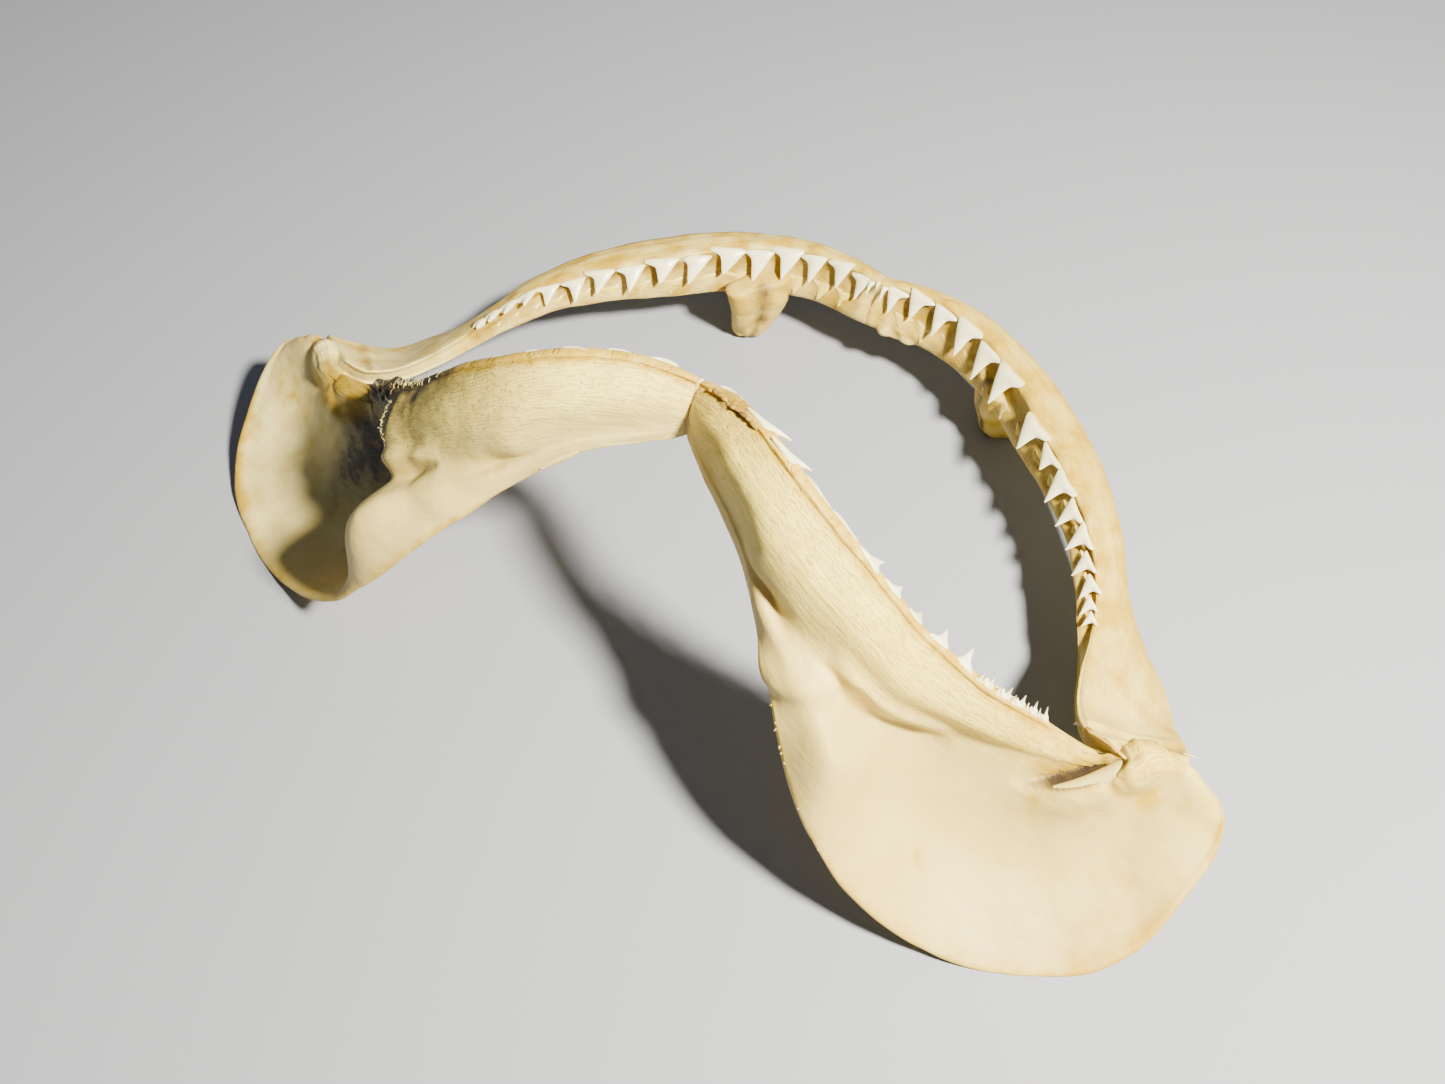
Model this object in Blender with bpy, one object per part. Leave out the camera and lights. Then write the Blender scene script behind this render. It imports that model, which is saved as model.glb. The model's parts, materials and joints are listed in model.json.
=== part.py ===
"""Dried jaws of a requiem shark, opened to about a right angle and laid down as they rest.

The lower jaw stands up in front, on the rims of its two wings. The upper jaw lies level
behind it, on its two inner knobs. Each jaw is a left and a right cartilage that meet at
the middle, with their teeth grown onto them.

Frame: +Z up, the floor at Z = 0, +Y from the lower jaw towards the upper one. The jaws are
seen from their front, so +X is the animal's left. All sizes below are in millimetres, in a
jaw frame whose origin lies on the floor under the middle of the hinge line. The finished
part is moved by FRAME_SHIFT, which puts the middle of its box at X = Y = 0.
"""
import math

import bmesh
import bpy
import numpy as np

MM = 0.001
FRAME_SHIFT = (0.0, -27.0, 0.0)
HALF_GAP = 0.15          # half of the gap between left and right where they meet
JOINT_GAP = 0.35         # gap between the upper and the lower cartilage at the hinge
FLOOR_SLAB = (400.0, 400.0, 20.0)   # block under the floor that flattens the resting points

RINGS_PER_ROW = 2        # sections made for each row of the tables
FACE_STEPS = (0.0, 0.5, 1.0, 1.5, 2.0, 2.4, 3.0, 3.6, 4.0)   # across a lower section
TOP_POINTS = 5           # points across the outer face of an upper section
UNDER_POINTS = 9         # points round the underside of an upper section
FIRST_REACH = 1.0        # least distance of the second section from the middle

# Lower cartilage (Meckel's), one row per section from the middle to the hinge:
# crest of the bar, lower edge of the bar, rim of the wing,
# bulge of the bar, hollow of the wing, thickness of the bar, thickness of the wing.
LOWER_ROWS = (
    ((0.2, 1.0, 89.0), (0.2, -4.0, 80.0), (0.2, -4.5, 76.0), 1.0, 0.0, 8.0, 6.0),
    ((8.0, -1.5, 91.5), (8.0, -10.0, 80.0), (8.0, -11.0, 77.0), 2.5, -0.3, 10.5, 8.0),
    ((17.0, -5.5, 93.5), (16.0, -16.0, 79.5), (15.5, -17.0, 76.5), 3.5, -0.3, 12.0, 8.0),
    ((26.5, -11.0, 94.0), (24.0, -21.5, 77.5), (23.0, -22.0, 73.5), 3.8, -0.3, 12.5, 7.0),
    ((36.0, -15.0, 91.5), (31.0, -28.0, 73.5), (28.5, -26.5, 66.5), 3.8, -0.3, 12.5, 5.0),
    ((45.0, -17.5, 87.0), (39.2, -31.0, 70.5), (34.5, -32.5, 62.5), 3.5, -1.0, 12.0, 4.2),
    ((53.0, -19.0, 82.0), (47.4, -32.0, 66.5), (41.0, -40.0, 57.5), 3.3, -1.5, 11.5, 3.6),
    ((60.0, -19.5, 76.0), (54.9, -33.0, 62.0), (48.0, -47.5, 51.0), 3.2, -3.5, 11.0, 3.2),
    ((67.0, -20.0, 70.0), (60.9, -33.0, 57.0), (56.5, -54.5, 41.0), 3.2, -7.5, 10.5, 3.2),
    ((72.5, -20.0, 66.5), (66.4, -31.5, 51.5), (65.5, -58.5, 30.5), 3.4, -2.5, 10.5, 3.2),
    ((78.5, -19.5, 61.5), (73.5, -27.5, 44.5), (77.0, -60.0, 17.5), 3.5, 4.5, 10.0, 3.0),
    ((85.5, -17.5, 55.0), (82.0, -23.0, 38.0), (92.5, -59.0, 6.5), 3.0, 8.0, 9.5, 3.0),
    ((92.0, -14.0, 48.0), (91.0, -20.0, 33.5), (109.0, -55.0, 1.0), 2.5, 9.0, 9.0, 3.0),
    ((98.0, -10.5, 41.5), (100.0, -17.5, 31.0), (123.0, -48.5, 0.4), 2.0, 8.5, 8.0, 3.0),
    ((104.0, -8.5, 37.0), (108.0, -15.5, 30.5), (133.0, -41.5, 2.2), 1.5, 7.5, 7.0, 3.2),
    ((110.5, -7.5, 34.5), (114.0, -12.0, 30.0), (140.0, -32.0, 6.0), 1.0, 6.5, 6.5, 3.6),
    ((117.0, -5.5, 33.5), (120.0, -7.5, 30.5), (143.0, -21.5, 12.5), 0.8, 4.5, 7.0, 4.2),
    ((122.0, -1.0, 33.5), (126.0, -3.0, 31.5), (145.5, -9.5, 17.5), 0.8, 2.0, 8.0, 5.0),
    ((129.0, 2.0, 32.0), (133.0, 0.0, 30.0), (144.0, -2.0, 22.5), 0.5, 0.5, 7.0, 5.0),
    ((132.5, 3.0, 29.5), (135.0, 2.0, 28.0), (140.5, 1.0, 25.0), 0.2, 0.0, 3.0, 3.0),
)
CREST_THICKNESS = 0.3     # of the bar's own thickness, along its crest
RIM_THICKNESS = 0.5       # of the wing's own thickness, along its rim

# Upper cartilage (palatoquadrate), one row per section from the middle to the hinge:
# gum line, outer edge, height on the gum side, height on the outer side, bulge.
UPPER_ROWS = (
    ((0.2, 106.0, 30.5), (0.2, 112.0, 28.0), 14.0, 10.0, 1.0),
    ((14.0, 107.5, 31.0), (15.5, 114.0, 28.5), 15.0, 11.0, 1.2),
    ((29.0, 104.5, 31.0), (32.0, 112.5, 28.5), 15.0, 11.0, 1.5),
    ((46.0, 95.0, 30.5), (50.5, 105.0, 28.0), 14.0, 11.0, 1.6),
    ((60.5, 82.0, 30.0), (68.0, 93.0, 27.0), 12.5, 10.0, 1.8),
    ((74.5, 69.5, 29.0), (83.0, 79.0, 25.5), 10.5, 9.0, 1.8),
    ((87.5, 55.5, 27.0), (96.0, 62.5, 22.0), 8.0, 7.5, 1.6),
    ((95.5, 42.0, 24.5), (103.5, 51.0, 16.0), 6.0, 5.5, 1.4),
    ((99.5, 30.0, 23.5), (113.0, 42.5, 8.5), 5.0, 4.0, 1.2),
    ((101.5, 17.0, 26.0), (122.0, 36.0, 3.8), 4.5, 3.0, 0.5),
    ((104.0, 5.5, 29.5), (127.5, 26.5, 5.0), 4.5, 3.0, -0.5),
    ((107.5, -2.0, 34.0), (131.0, 15.0, 16.0), 5.0, 4.0, -0.5),
    ((113.0, -3.5, 36.5), (130.5, 6.5, 27.5), 4.0, 4.0, 0.0),
)

# Underside of an upper section, below its outer edge and below its gum line, in order from
# the outside to the mouth: depth as a share of the height there, and way towards the mouth.
UNDER_OUTSIDE = ((0.5, -1.0), (1.0, 1.0))
UNDER_GUM = ((1.0, 0.2), (0.8, 1.4), (0.35, -0.8))

# Inner knob under each upper cartilage, from its top to its foot on the floor:
# offset from the knob's middle, half width, half thickness.
KNOB_MIDDLE = (41.5, 95.0)
KNOB_DRIED_APART = 5.5    # the two knobs dried this far off their mirrored places
KNOB_TURN = math.radians(58.0)
KNOB_RINGS = (
    ((-2.0, 2.0, 24.0), 9.0, 5.0),
    ((-1.0, 1.0, 15.0), 9.5, 5.5),
    ((0.5, 0.0, 7.5), 9.0, 5.5),
    ((1.5, -1.0, 2.5), 6.5, 4.5),
    ((2.0, -1.5, -1.0), 4.0, 3.5),
)
KNOB_SIDES = 10

# Teeth: crown width as a function of the row number, counted from the middle. A pair of
# numbers is a value at the first tooth and at the last one, with a straight change between.
UPPER_TEETH = 16
UPPER_WIDEST = 10.6
UPPER_WIDEST_ROW = 5
UPPER_FRONT_WIDTH = 7.2
UPPER_LAST_WIDTH = 4.0
UPPER_WIDTH_POWERS = (1.5, 1.6)     # how the width falls off to the front and to the end
UPPER_START = 2.2         # from the middle to the first crown, along the gum
UPPER_LONGEST = 10.0
UPPER_LENGTH_POWER = 0.8  # how the length follows the width
UPPER_TO_MOUTH = (0.62, 0.85)       # crown's direction: share towards the mouth
UPPER_DOWN = (0.75, 0.45)           # and share downwards
UPPER_LEAN = (0.08, 0.3)  # tip towards the hinge, as a share of the width
UPPER_SUNK = 1.2          # root below the gum line
UPPER_FILL = 0.96         # crown's share of its place in the row
UPPER_CUSP = 0.24         # half width of a crown halfway up, as a share of its width
LEFT_LOST_TOOTH = 6       # fell out of the animal's left side, counted from 0
LEFT_BROKEN_TOOTH = 8     # broke off short on the same side
BROKEN_LENGTH = 0.55      # what is left of it
RIGHT_PRESSED_FROM = 12   # from here on the right teeth are pressed down
PRESSED_LENGTH = 0.6

LOWER_TEETH = 15
LOWER_WIDEST = 8.4
LOWER_LAST_WIDTH = 3.6
LOWER_POWER = 1.5         # how width and direction change from the middle to the end
LOWER_START = 4.0
LOWER_LONGEST = 6.0
LOWER_LENGTH_POWER = 0.4
LOWER_BACK = (1.0, 0.3)   # crown's direction: share towards the back
LOWER_UP = (0.1, 1.0)     # and share upwards
LOWER_LEAN = (0.35, 0.1)
LOWER_BEHIND = 2.2        # root behind the crest
LOWER_SUNK = (0.3, 0.9)   # root below the crest
LOWER_FILL = 0.94
LOWER_CUSP = 0.14
LOWER_LAST_ROW = 13.2     # table row where the lower teeth end

TOOTH_THICK = 2.2         # at the root
TIP_THICK = 0.7
ROOT_DEPTH = 1.6
SHOULDERS = (0.12, 0.16)  # height of a crown at its two ends, as a share of its height
WAISTS = (0.5, 0.45)      # height of the places where the cusp narrows
WAIST_LEANS = (0.5, 0.7)  # share of the tip's lean that they take
BACK_CUSP = 0.6           # the hinge side of the cusp is narrower, by this share
WAIST_THICKNESS = 0.8     # 1 is the root's, 0 the tip's
ROW_SAMPLES, LENGTH_SAMPLES = 400, 200   # points that measure lengths along a row of teeth

CARTILAGE = ("dried_cartilage", (0.80, 0.66, 0.42, 1.0), 0.55)


def unit(vector):
    """The vector at length one."""
    return vector / np.linalg.norm(vector)


def spline(values, position):
    """Catmull-Rom value at a place along a table, where 1.0 is one row."""
    last = len(values) - 1
    row = min(int(position), last - 1)
    t = position - row
    p0, p1 = values[max(row - 1, 0)], values[row]
    p2, p3 = values[row + 1], values[min(row + 2, last)]
    return 0.5 * (2 * p1 + (p2 - p0) * t + (2 * p0 - 5 * p1 + 4 * p2 - p3) * t * t
                  + (3 * p1 - p0 - 3 * p2 + p3) * t ** 3)


def table_columns(rows):
    """Each column of a table as one array, a point or a number to a row."""
    return [np.array([row[i] for row in rows], dtype=float) for i in range(len(rows[0]))]


def across(points, count):
    """Evenly placed points on a smooth line through a few points."""
    points = np.array(points)
    steps = np.linalg.norm(np.diff(points, axis=0), axis=1)
    places = np.concatenate(([0.0], np.cumsum(steps)))
    wanted = np.linspace(0.0, places[-1], count)
    rows = np.interp(wanted, places, np.arange(len(points)))
    return np.array([spline(points, row) for row in rows])


def run_direction(line, row):
    """Direction in which a line of the table runs at one place."""
    last = len(line) - 1.0
    return unit(spline(line, min(row + 0.5, last)) - spline(line, max(row - 0.5, 0.0)))


LOWER = table_columns(LOWER_ROWS)
UPPER = table_columns(UPPER_ROWS)


def lower_section(row):
    """Closed ring of points of the lower cartilage at one place along it."""
    crest, edge, rim, bulge, hollow, bar, wing = (spline(c, row) for c in LOWER)
    along = run_direction(LOWER[0] + LOWER[2], row)
    bar_out = unit(np.cross(edge - crest, along))
    wing_out = unit(np.cross(rim - edge, along))
    middle = (crest + edge) / 2 + bar_out * bulge
    dish = (edge + rim) / 2 - wing_out * hollow
    knots = np.array((crest, middle, edge, dish, rim))
    outer = np.array([spline(knots, step) for step in FACE_STEPS])
    turn = np.clip((np.array(FACE_STEPS) - 1.0) / 2.0, 0.0, 1.0)[:, None]
    out = bar_out * (1 - turn) + wing_out * turn
    out /= np.linalg.norm(out, axis=1)[:, None]
    depths = (CREST_THICKNESS * bar, bar, (bar + wing) / 2, wing, RIM_THICKNESS * wing)
    inner = outer - out * np.interp(FACE_STEPS, range(5), depths)[:, None]
    return np.vstack((outer, inner[::-1]))


def upper_frame(row):
    """Gum point, direction of the run, direction out of the face, direction to the mouth."""
    gum, outside = spline(UPPER[0], row), spline(UPPER[1], row)
    along = run_direction(UPPER[0] + UPPER[1], row)
    out = unit(np.cross(along, gum - outside))
    if out[2] < 0:
        out = -out
    return gum, along, out, unit(gum - outside)


def upper_section(row):
    """Closed ring of points of the upper cartilage at one place along it."""
    gum, along, out, inward = upper_frame(row)
    outside, gum_height, outside_height, bulge = (spline(c, row) for c in UPPER[1:])
    top = across((gum, (gum + outside) / 2 + out * bulge, outside), TOP_POINTS)
    knots = [outside - out * outside_height * share + inward * way for share, way in UNDER_OUTSIDE]
    knots.append((gum + outside) / 2 - out * (gum_height + outside_height) / 2)
    knots += [gum - out * gum_height * share + inward * way for share, way in UNDER_GUM]
    return np.vstack((top, across(knots, UNDER_POINTS)))


def cartilage_rings(rows, section):
    """All sections of one cartilage, the first of them flat against the other side."""
    count = (len(rows) - 1) * RINGS_PER_ROW
    rings = [section(i / RINGS_PER_ROW) for i in range(count + 1)]
    rings[0][:, 0] = HALF_GAP
    rings[1][:, 0] = np.maximum(rings[1][:, 0], FIRST_REACH)
    return rings


def knob_rings(side):
    """Sections of the inner knob, from inside the bar down to the floor."""
    wide = np.array((-math.cos(KNOB_TURN), math.sin(KNOB_TURN), 0.0))
    thick = np.array((math.sin(KNOB_TURN), math.cos(KNOB_TURN), 0.0))
    middle = np.array((KNOB_MIDDLE[0] + side * KNOB_DRIED_APART, KNOB_MIDDLE[1], 0.0))
    rings = []
    for offset, half_width, half_thickness in KNOB_RINGS:
        angles = (math.tau * i / KNOB_SIDES for i in range(KNOB_SIDES))
        rings.append([middle + offset + wide * half_width * math.cos(a)
                      + thick * half_thickness * math.sin(a) for a in angles])
    return rings


def tooth_rings(root, up, along, size, lean, cusp):
    """Front and back outline of one crown: oblique cusp, notched on the hinge side."""
    width, height = size
    face = unit(np.cross(up, along))
    outline = (
        (-0.5, -ROOT_DEPTH, 1.0),
        (-0.5, SHOULDERS[0] * height, 1.0),
        (WAIST_LEANS[0] * lean - cusp, WAISTS[0] * height, WAIST_THICKNESS),
        (lean, height, 0.0),
        (WAIST_LEANS[1] * lean + BACK_CUSP * cusp, WAISTS[1] * height, WAIST_THICKNESS),
        (0.5, SHOULDERS[1] * height, 1.0),
        (0.5, -ROOT_DEPTH, 1.0),
    )
    rings = []
    for sign in (1, -1):
        ring = []
        for place_along, place_up, share in outline:
            half = (TIP_THICK + (TOOTH_THICK - TIP_THICK) * share) / 2
            ring.append(root + along * place_along * width + up * place_up + face * sign * half)
        rings.append(ring)
    return rings


def ramp(ends, share):
    """Straight change from one value to another."""
    start, end = ends
    return start + (end - start) * share


def rows_along(line, places):
    """Table rows at the given distances along a line of the table."""
    rows = np.linspace(0.0, len(line) - 1.0, ROW_SAMPLES)
    points = np.array([spline(line, row) for row in rows])
    lengths = np.concatenate(([0.0], np.cumsum(np.linalg.norm(np.diff(points, axis=0), axis=1))))
    return np.interp(places, lengths, rows)


def upper_tooth_width(number):
    """Crown width of an upper tooth: widest at UPPER_WIDEST_ROW, smallest at the end."""
    to_front, to_end = UPPER_WIDTH_POWERS
    if number <= UPPER_WIDEST_ROW:
        drop = ((UPPER_WIDEST_ROW - number) / UPPER_WIDEST_ROW) ** to_front
        return UPPER_WIDEST - (UPPER_WIDEST - UPPER_FRONT_WIDTH) * drop
    drop = ((number - UPPER_WIDEST_ROW) / (UPPER_TEETH - 1 - UPPER_WIDEST_ROW)) ** to_end
    return UPPER_WIDEST - (UPPER_WIDEST - UPPER_LAST_WIDTH) * drop


def upper_teeth(side):
    """Outlines of the upper teeth of one side."""
    widths = [upper_tooth_width(i) for i in range(UPPER_TEETH)]
    places = UPPER_START + np.cumsum(widths) - np.array(widths) / 2
    teeth = []
    for i, row in enumerate(rows_along(UPPER[0], places)):
        if side > 0 and i == LEFT_LOST_TOOTH:
            continue
        gum, along, out, inward = upper_frame(row)
        share = i / (UPPER_TEETH - 1)
        level = unit(np.array((inward[0], inward[1], 0.0)))
        down = np.array((0.0, 0.0, ramp(UPPER_DOWN, share)))
        up = unit(level * ramp(UPPER_TO_MOUTH, share) - down)
        height = UPPER_LONGEST * (widths[i] / UPPER_WIDEST) ** UPPER_LENGTH_POWER
        if side > 0 and i == LEFT_BROKEN_TOOTH:
            height *= BROKEN_LENGTH
        if side < 0 and i >= RIGHT_PRESSED_FROM:
            height *= PRESSED_LENGTH
        size = (UPPER_FILL * widths[i], height)
        root = gum - out * UPPER_SUNK
        teeth.append(tooth_rings(root, up, along, size, ramp(UPPER_LEAN, share), UPPER_CUSP))
    return teeth


def lower_teeth():
    """Outlines of the lower teeth of one side."""
    shares = np.linspace(0.0, 1.0, LOWER_TEETH)
    turns = shares ** LOWER_POWER
    widths = LOWER_WIDEST - (LOWER_WIDEST - LOWER_LAST_WIDTH) * turns
    places = LOWER_START + np.cumsum(widths) - widths / 2
    places *= rows_length(LOWER[0], LOWER_LAST_ROW) / (places[-1] + widths[-1] / 2)
    teeth = []
    for i, row in enumerate(rows_along(LOWER[0], places)):
        crest, edge = spline(LOWER[0], row), spline(LOWER[1], row)
        along = run_direction(LOWER[0] + LOWER[2], row)
        back = -unit(np.cross(edge - crest, along))
        rise = unit(crest - edge)
        up = unit(back * ramp(LOWER_BACK, shares[i]) + rise * ramp(LOWER_UP, turns[i]))
        height = LOWER_LONGEST * (widths[i] / LOWER_WIDEST) ** LOWER_LENGTH_POWER
        root = crest + back * LOWER_BEHIND - rise * ramp(LOWER_SUNK, shares[i])
        size = (LOWER_FILL * widths[i], height)
        lean = ramp(LOWER_LEAN, shares[i])
        teeth.append(tooth_rings(root, up, along, size, lean, LOWER_CUSP))
    return teeth


def rows_length(line, row):
    """Distance along a line of the table to one row."""
    points = np.array([spline(line, r) for r in np.linspace(0.0, row, LENGTH_SAMPLES)])
    return np.linalg.norm(np.diff(points, axis=0), axis=1).sum()


def add_body(shape, rings, side):
    """One closed body from a row of equal rings, with flat ends, added to a bmesh."""
    loops = []
    for ring in rings:
        loops.append([shape.verts.new((p[0] * side, p[1], p[2])) for p in ring])
    size = len(loops[0])
    faces = [shape.faces.new(loops[0][::-1]), shape.faces.new(loops[-1])]
    for first, second in zip(loops, loops[1:]):
        for i in range(size):
            j = (i + 1) % size
            faces.append(shape.faces.new((first[i], first[j], second[j], second[i])))
    bmesh.ops.recalc_face_normals(shape, faces=faces)


def mesh_object(name, bodies, side):
    """An object made of closed bodies, in metres and in the part's frame."""
    shape = bmesh.new()
    for rings in bodies:
        add_body(shape, rings, side)
    bmesh.ops.triangulate(shape, faces=[f for f in shape.faces if len(f.verts) > 4])
    bmesh.ops.translate(shape, vec=FRAME_SHIFT, verts=shape.verts)
    bmesh.ops.scale(shape, vec=(MM, MM, MM), verts=shape.verts)
    mesh = bpy.data.meshes.new(name)
    shape.to_mesh(mesh)
    shape.free()
    thing = bpy.data.objects.new(name, mesh)
    bpy.context.scene.collection.objects.link(thing)
    return thing


def as_guide(thing):
    """Marks an object that only shapes others."""
    thing.hide_render = True
    thing.display_type = "WIRE"
    return thing


def combine(thing, other, operation):
    """Joins or cuts one object with another."""
    step = thing.modifiers.new(operation.lower(), "BOOLEAN")
    step.object = other
    step.operation = operation
    step.solver = "EXACT"
    step.use_self = operation == "UNION"


def grown_copy(thing, name, gap):
    """A guide a little larger all round than a cartilage, for the seat of the hinge."""
    mesh = thing.data.copy()
    points = [v.co + v.normal * gap * MM for v in mesh.vertices]
    for vertex, point in zip(mesh.vertices, points):
        vertex.co = point
    copy = bpy.data.objects.new(name, mesh)
    bpy.context.scene.collection.objects.link(copy)
    return as_guide(copy)


def floor_block():
    """Guide that lies under the floor."""
    shape = bmesh.new()
    bmesh.ops.create_cube(shape, size=1.0)
    bmesh.ops.scale(shape, vec=[size * MM for size in FLOOR_SLAB], verts=shape.verts)
    bmesh.ops.translate(shape, vec=(0.0, 0.0, -FLOOR_SLAB[2] * MM / 2), verts=shape.verts)
    mesh = bpy.data.meshes.new("floor_block")
    shape.to_mesh(mesh)
    shape.free()
    thing = bpy.data.objects.new("floor_block", mesh)
    bpy.context.scene.collection.objects.link(thing)
    return as_guide(thing)


def cartilage_material():
    """Ivory, half matt, as dried cartilage is."""
    name, colour, roughness = CARTILAGE
    material = bpy.data.materials.new(name)
    material.use_nodes = True
    shader = material.node_tree.nodes["Principled BSDF"]
    shader.inputs["Base Color"].default_value = colour
    shader.inputs["Roughness"].default_value = roughness
    shader.inputs["Metallic"].default_value = 0.0
    return material


def lower_jaw(side, word, floor):
    """One lower cartilage with its teeth."""
    jaw = mesh_object("lower_jaw_" + word, [cartilage_rings(LOWER_ROWS, lower_section)], side)
    teeth = as_guide(mesh_object("lower_teeth_" + word, lower_teeth(), side))
    combine(jaw, teeth, "UNION")
    combine(jaw, floor, "DIFFERENCE")
    return jaw


def upper_jaw(side, word, floor, lower):
    """One upper cartilage with its knob and teeth, seated on the lower one at the hinge."""
    jaw = mesh_object("upper_jaw_" + word, [cartilage_rings(UPPER_ROWS, upper_section)], side)
    knob = as_guide(mesh_object("knob_" + word, [knob_rings(side)], side))
    teeth = as_guide(mesh_object("upper_teeth_" + word, upper_teeth(side), side))
    seat = grown_copy(lower, "hinge_seat_" + word, JOINT_GAP)
    combine(jaw, knob, "UNION")
    combine(jaw, teeth, "UNION")
    combine(jaw, seat, "DIFFERENCE")
    combine(jaw, floor, "DIFFERENCE")
    return jaw


def build():
    """The whole pair of jaws."""
    for old in list(bpy.data.objects):
        bpy.data.objects.remove(old)
    material = cartilage_material()
    floor = floor_block()
    for side, word in ((1, "left"), (-1, "right")):
        lower = lower_jaw(side, word, floor)
        upper = upper_jaw(side, word, floor, lower)
        for jaw in (lower, upper):
            jaw.data.materials.append(material)


build()
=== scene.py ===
# %% [markdown]
# # Dried shark jaws, in Blender
# The jaws are cartilage, not bone: an upper and a lower arch, each of a left and a right half.
# Dried, they are ivory and finely fibrous, amber where the gum was, with white crowns along both
# arches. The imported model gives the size, the pose and the places. This notebook rebuilds each
# half as a dense, softly modelled surface, and adds the crowns, the gum and the joint tissue.

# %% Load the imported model
from collections import namedtuple
import json
import math
import random

import bmesh
import bpy
import numpy as np
from mathutils import Euler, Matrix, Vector, noise

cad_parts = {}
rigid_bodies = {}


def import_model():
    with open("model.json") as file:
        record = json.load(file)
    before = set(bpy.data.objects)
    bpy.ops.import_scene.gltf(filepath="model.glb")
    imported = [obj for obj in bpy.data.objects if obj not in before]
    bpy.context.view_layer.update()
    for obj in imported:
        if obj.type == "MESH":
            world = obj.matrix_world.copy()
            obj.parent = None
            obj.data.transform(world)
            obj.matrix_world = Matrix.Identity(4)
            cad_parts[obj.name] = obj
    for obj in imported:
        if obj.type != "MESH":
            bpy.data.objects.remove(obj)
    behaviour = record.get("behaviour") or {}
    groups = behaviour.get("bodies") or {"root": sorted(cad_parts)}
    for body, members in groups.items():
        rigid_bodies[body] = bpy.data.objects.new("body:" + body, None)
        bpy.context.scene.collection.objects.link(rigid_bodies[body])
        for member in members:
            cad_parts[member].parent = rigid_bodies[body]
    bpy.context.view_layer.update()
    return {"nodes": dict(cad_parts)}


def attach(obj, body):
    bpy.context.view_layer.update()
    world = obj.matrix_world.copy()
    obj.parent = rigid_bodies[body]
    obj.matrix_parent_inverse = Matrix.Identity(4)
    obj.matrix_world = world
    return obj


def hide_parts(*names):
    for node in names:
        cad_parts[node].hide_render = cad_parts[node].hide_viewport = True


for old in list(bpy.data.objects):
    bpy.data.objects.remove(old)
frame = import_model()
MM = 0.001
SHIFT = np.array((0.0, -27.0, 0.0))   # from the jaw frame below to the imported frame, mm
print("nodes", sorted(frame["nodes"]))

# %% [markdown]
# ## The camera
# The photo looks down at the jaws from in front of the lower one, from about 35 cm away, with a
# wide phone lens. Such a lens makes the near wing large, so the lens and the distance matter more
# than for a distant view. The turn below was solved from pairs of like points on the two halves.

# %% Camera
CAMERA_PLACE = np.array((94.0, -153.0, 295.3))
CAMERA_TURN = (33.745, -0.628, 30.454)   # degrees about X, Y and Z
CAMERA_LENS = 30.64                      # mm, on a sensor 36 mm wide
camera_data = bpy.data.cameras.new("camera")
camera_data.lens = CAMERA_LENS
camera_data.sensor_width = 36.0
camera_data.clip_start = 0.01
camera = bpy.data.objects.new("camera", camera_data)
camera.location = (CAMERA_PLACE + SHIFT) * MM
camera.rotation_euler = Euler([math.radians(a) for a in CAMERA_TURN])
bpy.context.scene.collection.objects.link(camera)
bpy.context.scene.camera = camera
print("camera at", [round(c, 3) for c in camera.location])

# %% [markdown]
# ## Smooth lines through a few stations
# A cartilage is described at about twenty stations from the middle to the hinge. A Catmull-Rom
# curve passes through every station, so a value read from it stays true to the table, and a
# dense surface can be drawn from few numbers.

# %% Curves
def unit(vector):
    """The vector at length one."""
    return vector / np.linalg.norm(vector)


def spline(values, position):
    """Catmull-Rom value at a place along a table, where 1.0 is one row."""
    last = len(values) - 1
    row = min(int(position), last - 1)
    t = position - row
    p0, p1 = values[max(row - 1, 0)], values[row]
    p2, p3 = values[row + 1], values[min(row + 2, last)]
    return 0.5 * (2 * p1 + (p2 - p0) * t + (2 * p0 - 5 * p1 + 4 * p2 - p3) * t * t
                  + (3 * p1 - p0 - 3 * p2 + p3) * t ** 3)


def closed_spline(values, position):
    """The same on a closed ring of values."""
    count = len(values)
    row = int(position) % count
    four = np.array([values[(row + i) % count] for i in (-1, 0, 1, 2)])
    return spline(four, 1.0 + position - int(position))


def table_columns(rows):
    """Each column of a table as one array, a point or a number to a row."""
    return [np.array([row[i] for row in rows], dtype=float) for i in range(len(rows[0]))]


def run_direction(line, row):
    """Direction in which a line of the table runs at one place."""
    last = len(line) - 1.0
    return unit(spline(line, min(row + 0.5, last)) - spline(line, max(row - 0.5, 0.0)))


def lengths_along(line, rows):
    """Distance from the middle, along a line of the table, to each of the rows."""
    points = np.array([spline(line, row) for row in rows])
    steps = np.linalg.norm(np.diff(points, axis=0), axis=1)
    return np.concatenate(([0.0], np.cumsum(steps)))


def near(distance, width):
    """1 at distance 0, falling smoothly to nothing past the width."""
    return math.exp(-(distance / width) ** 2)


def clamped(value):
    """The value, held between 0 and 1."""
    return min(1.0, max(0.0, value))


def ramp(start, end, share):
    """Straight change from one value to another, held past both ends."""
    return start + (end - start) * clamped(share)


def grows(value, start, width):
    """0 up to the start, then straight up to 1 over the width."""
    return ramp(0, 1, (value - start) / width)


def fades(value, start, width):
    """1 up to the start, then straight down to 0 over the width."""
    return ramp(1, 0, (value - start) / width)


# %% [markdown]
# ## The lower cartilage
# Each half is a bar that carries the teeth, with a thin wing hanging from it towards the hinge,
# dished like a bowl. One station holds the crest of the bar, its lower edge, the rim of the wing,
# how far the bar bulges, how deep the wing is dished, and both thicknesses.

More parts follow.
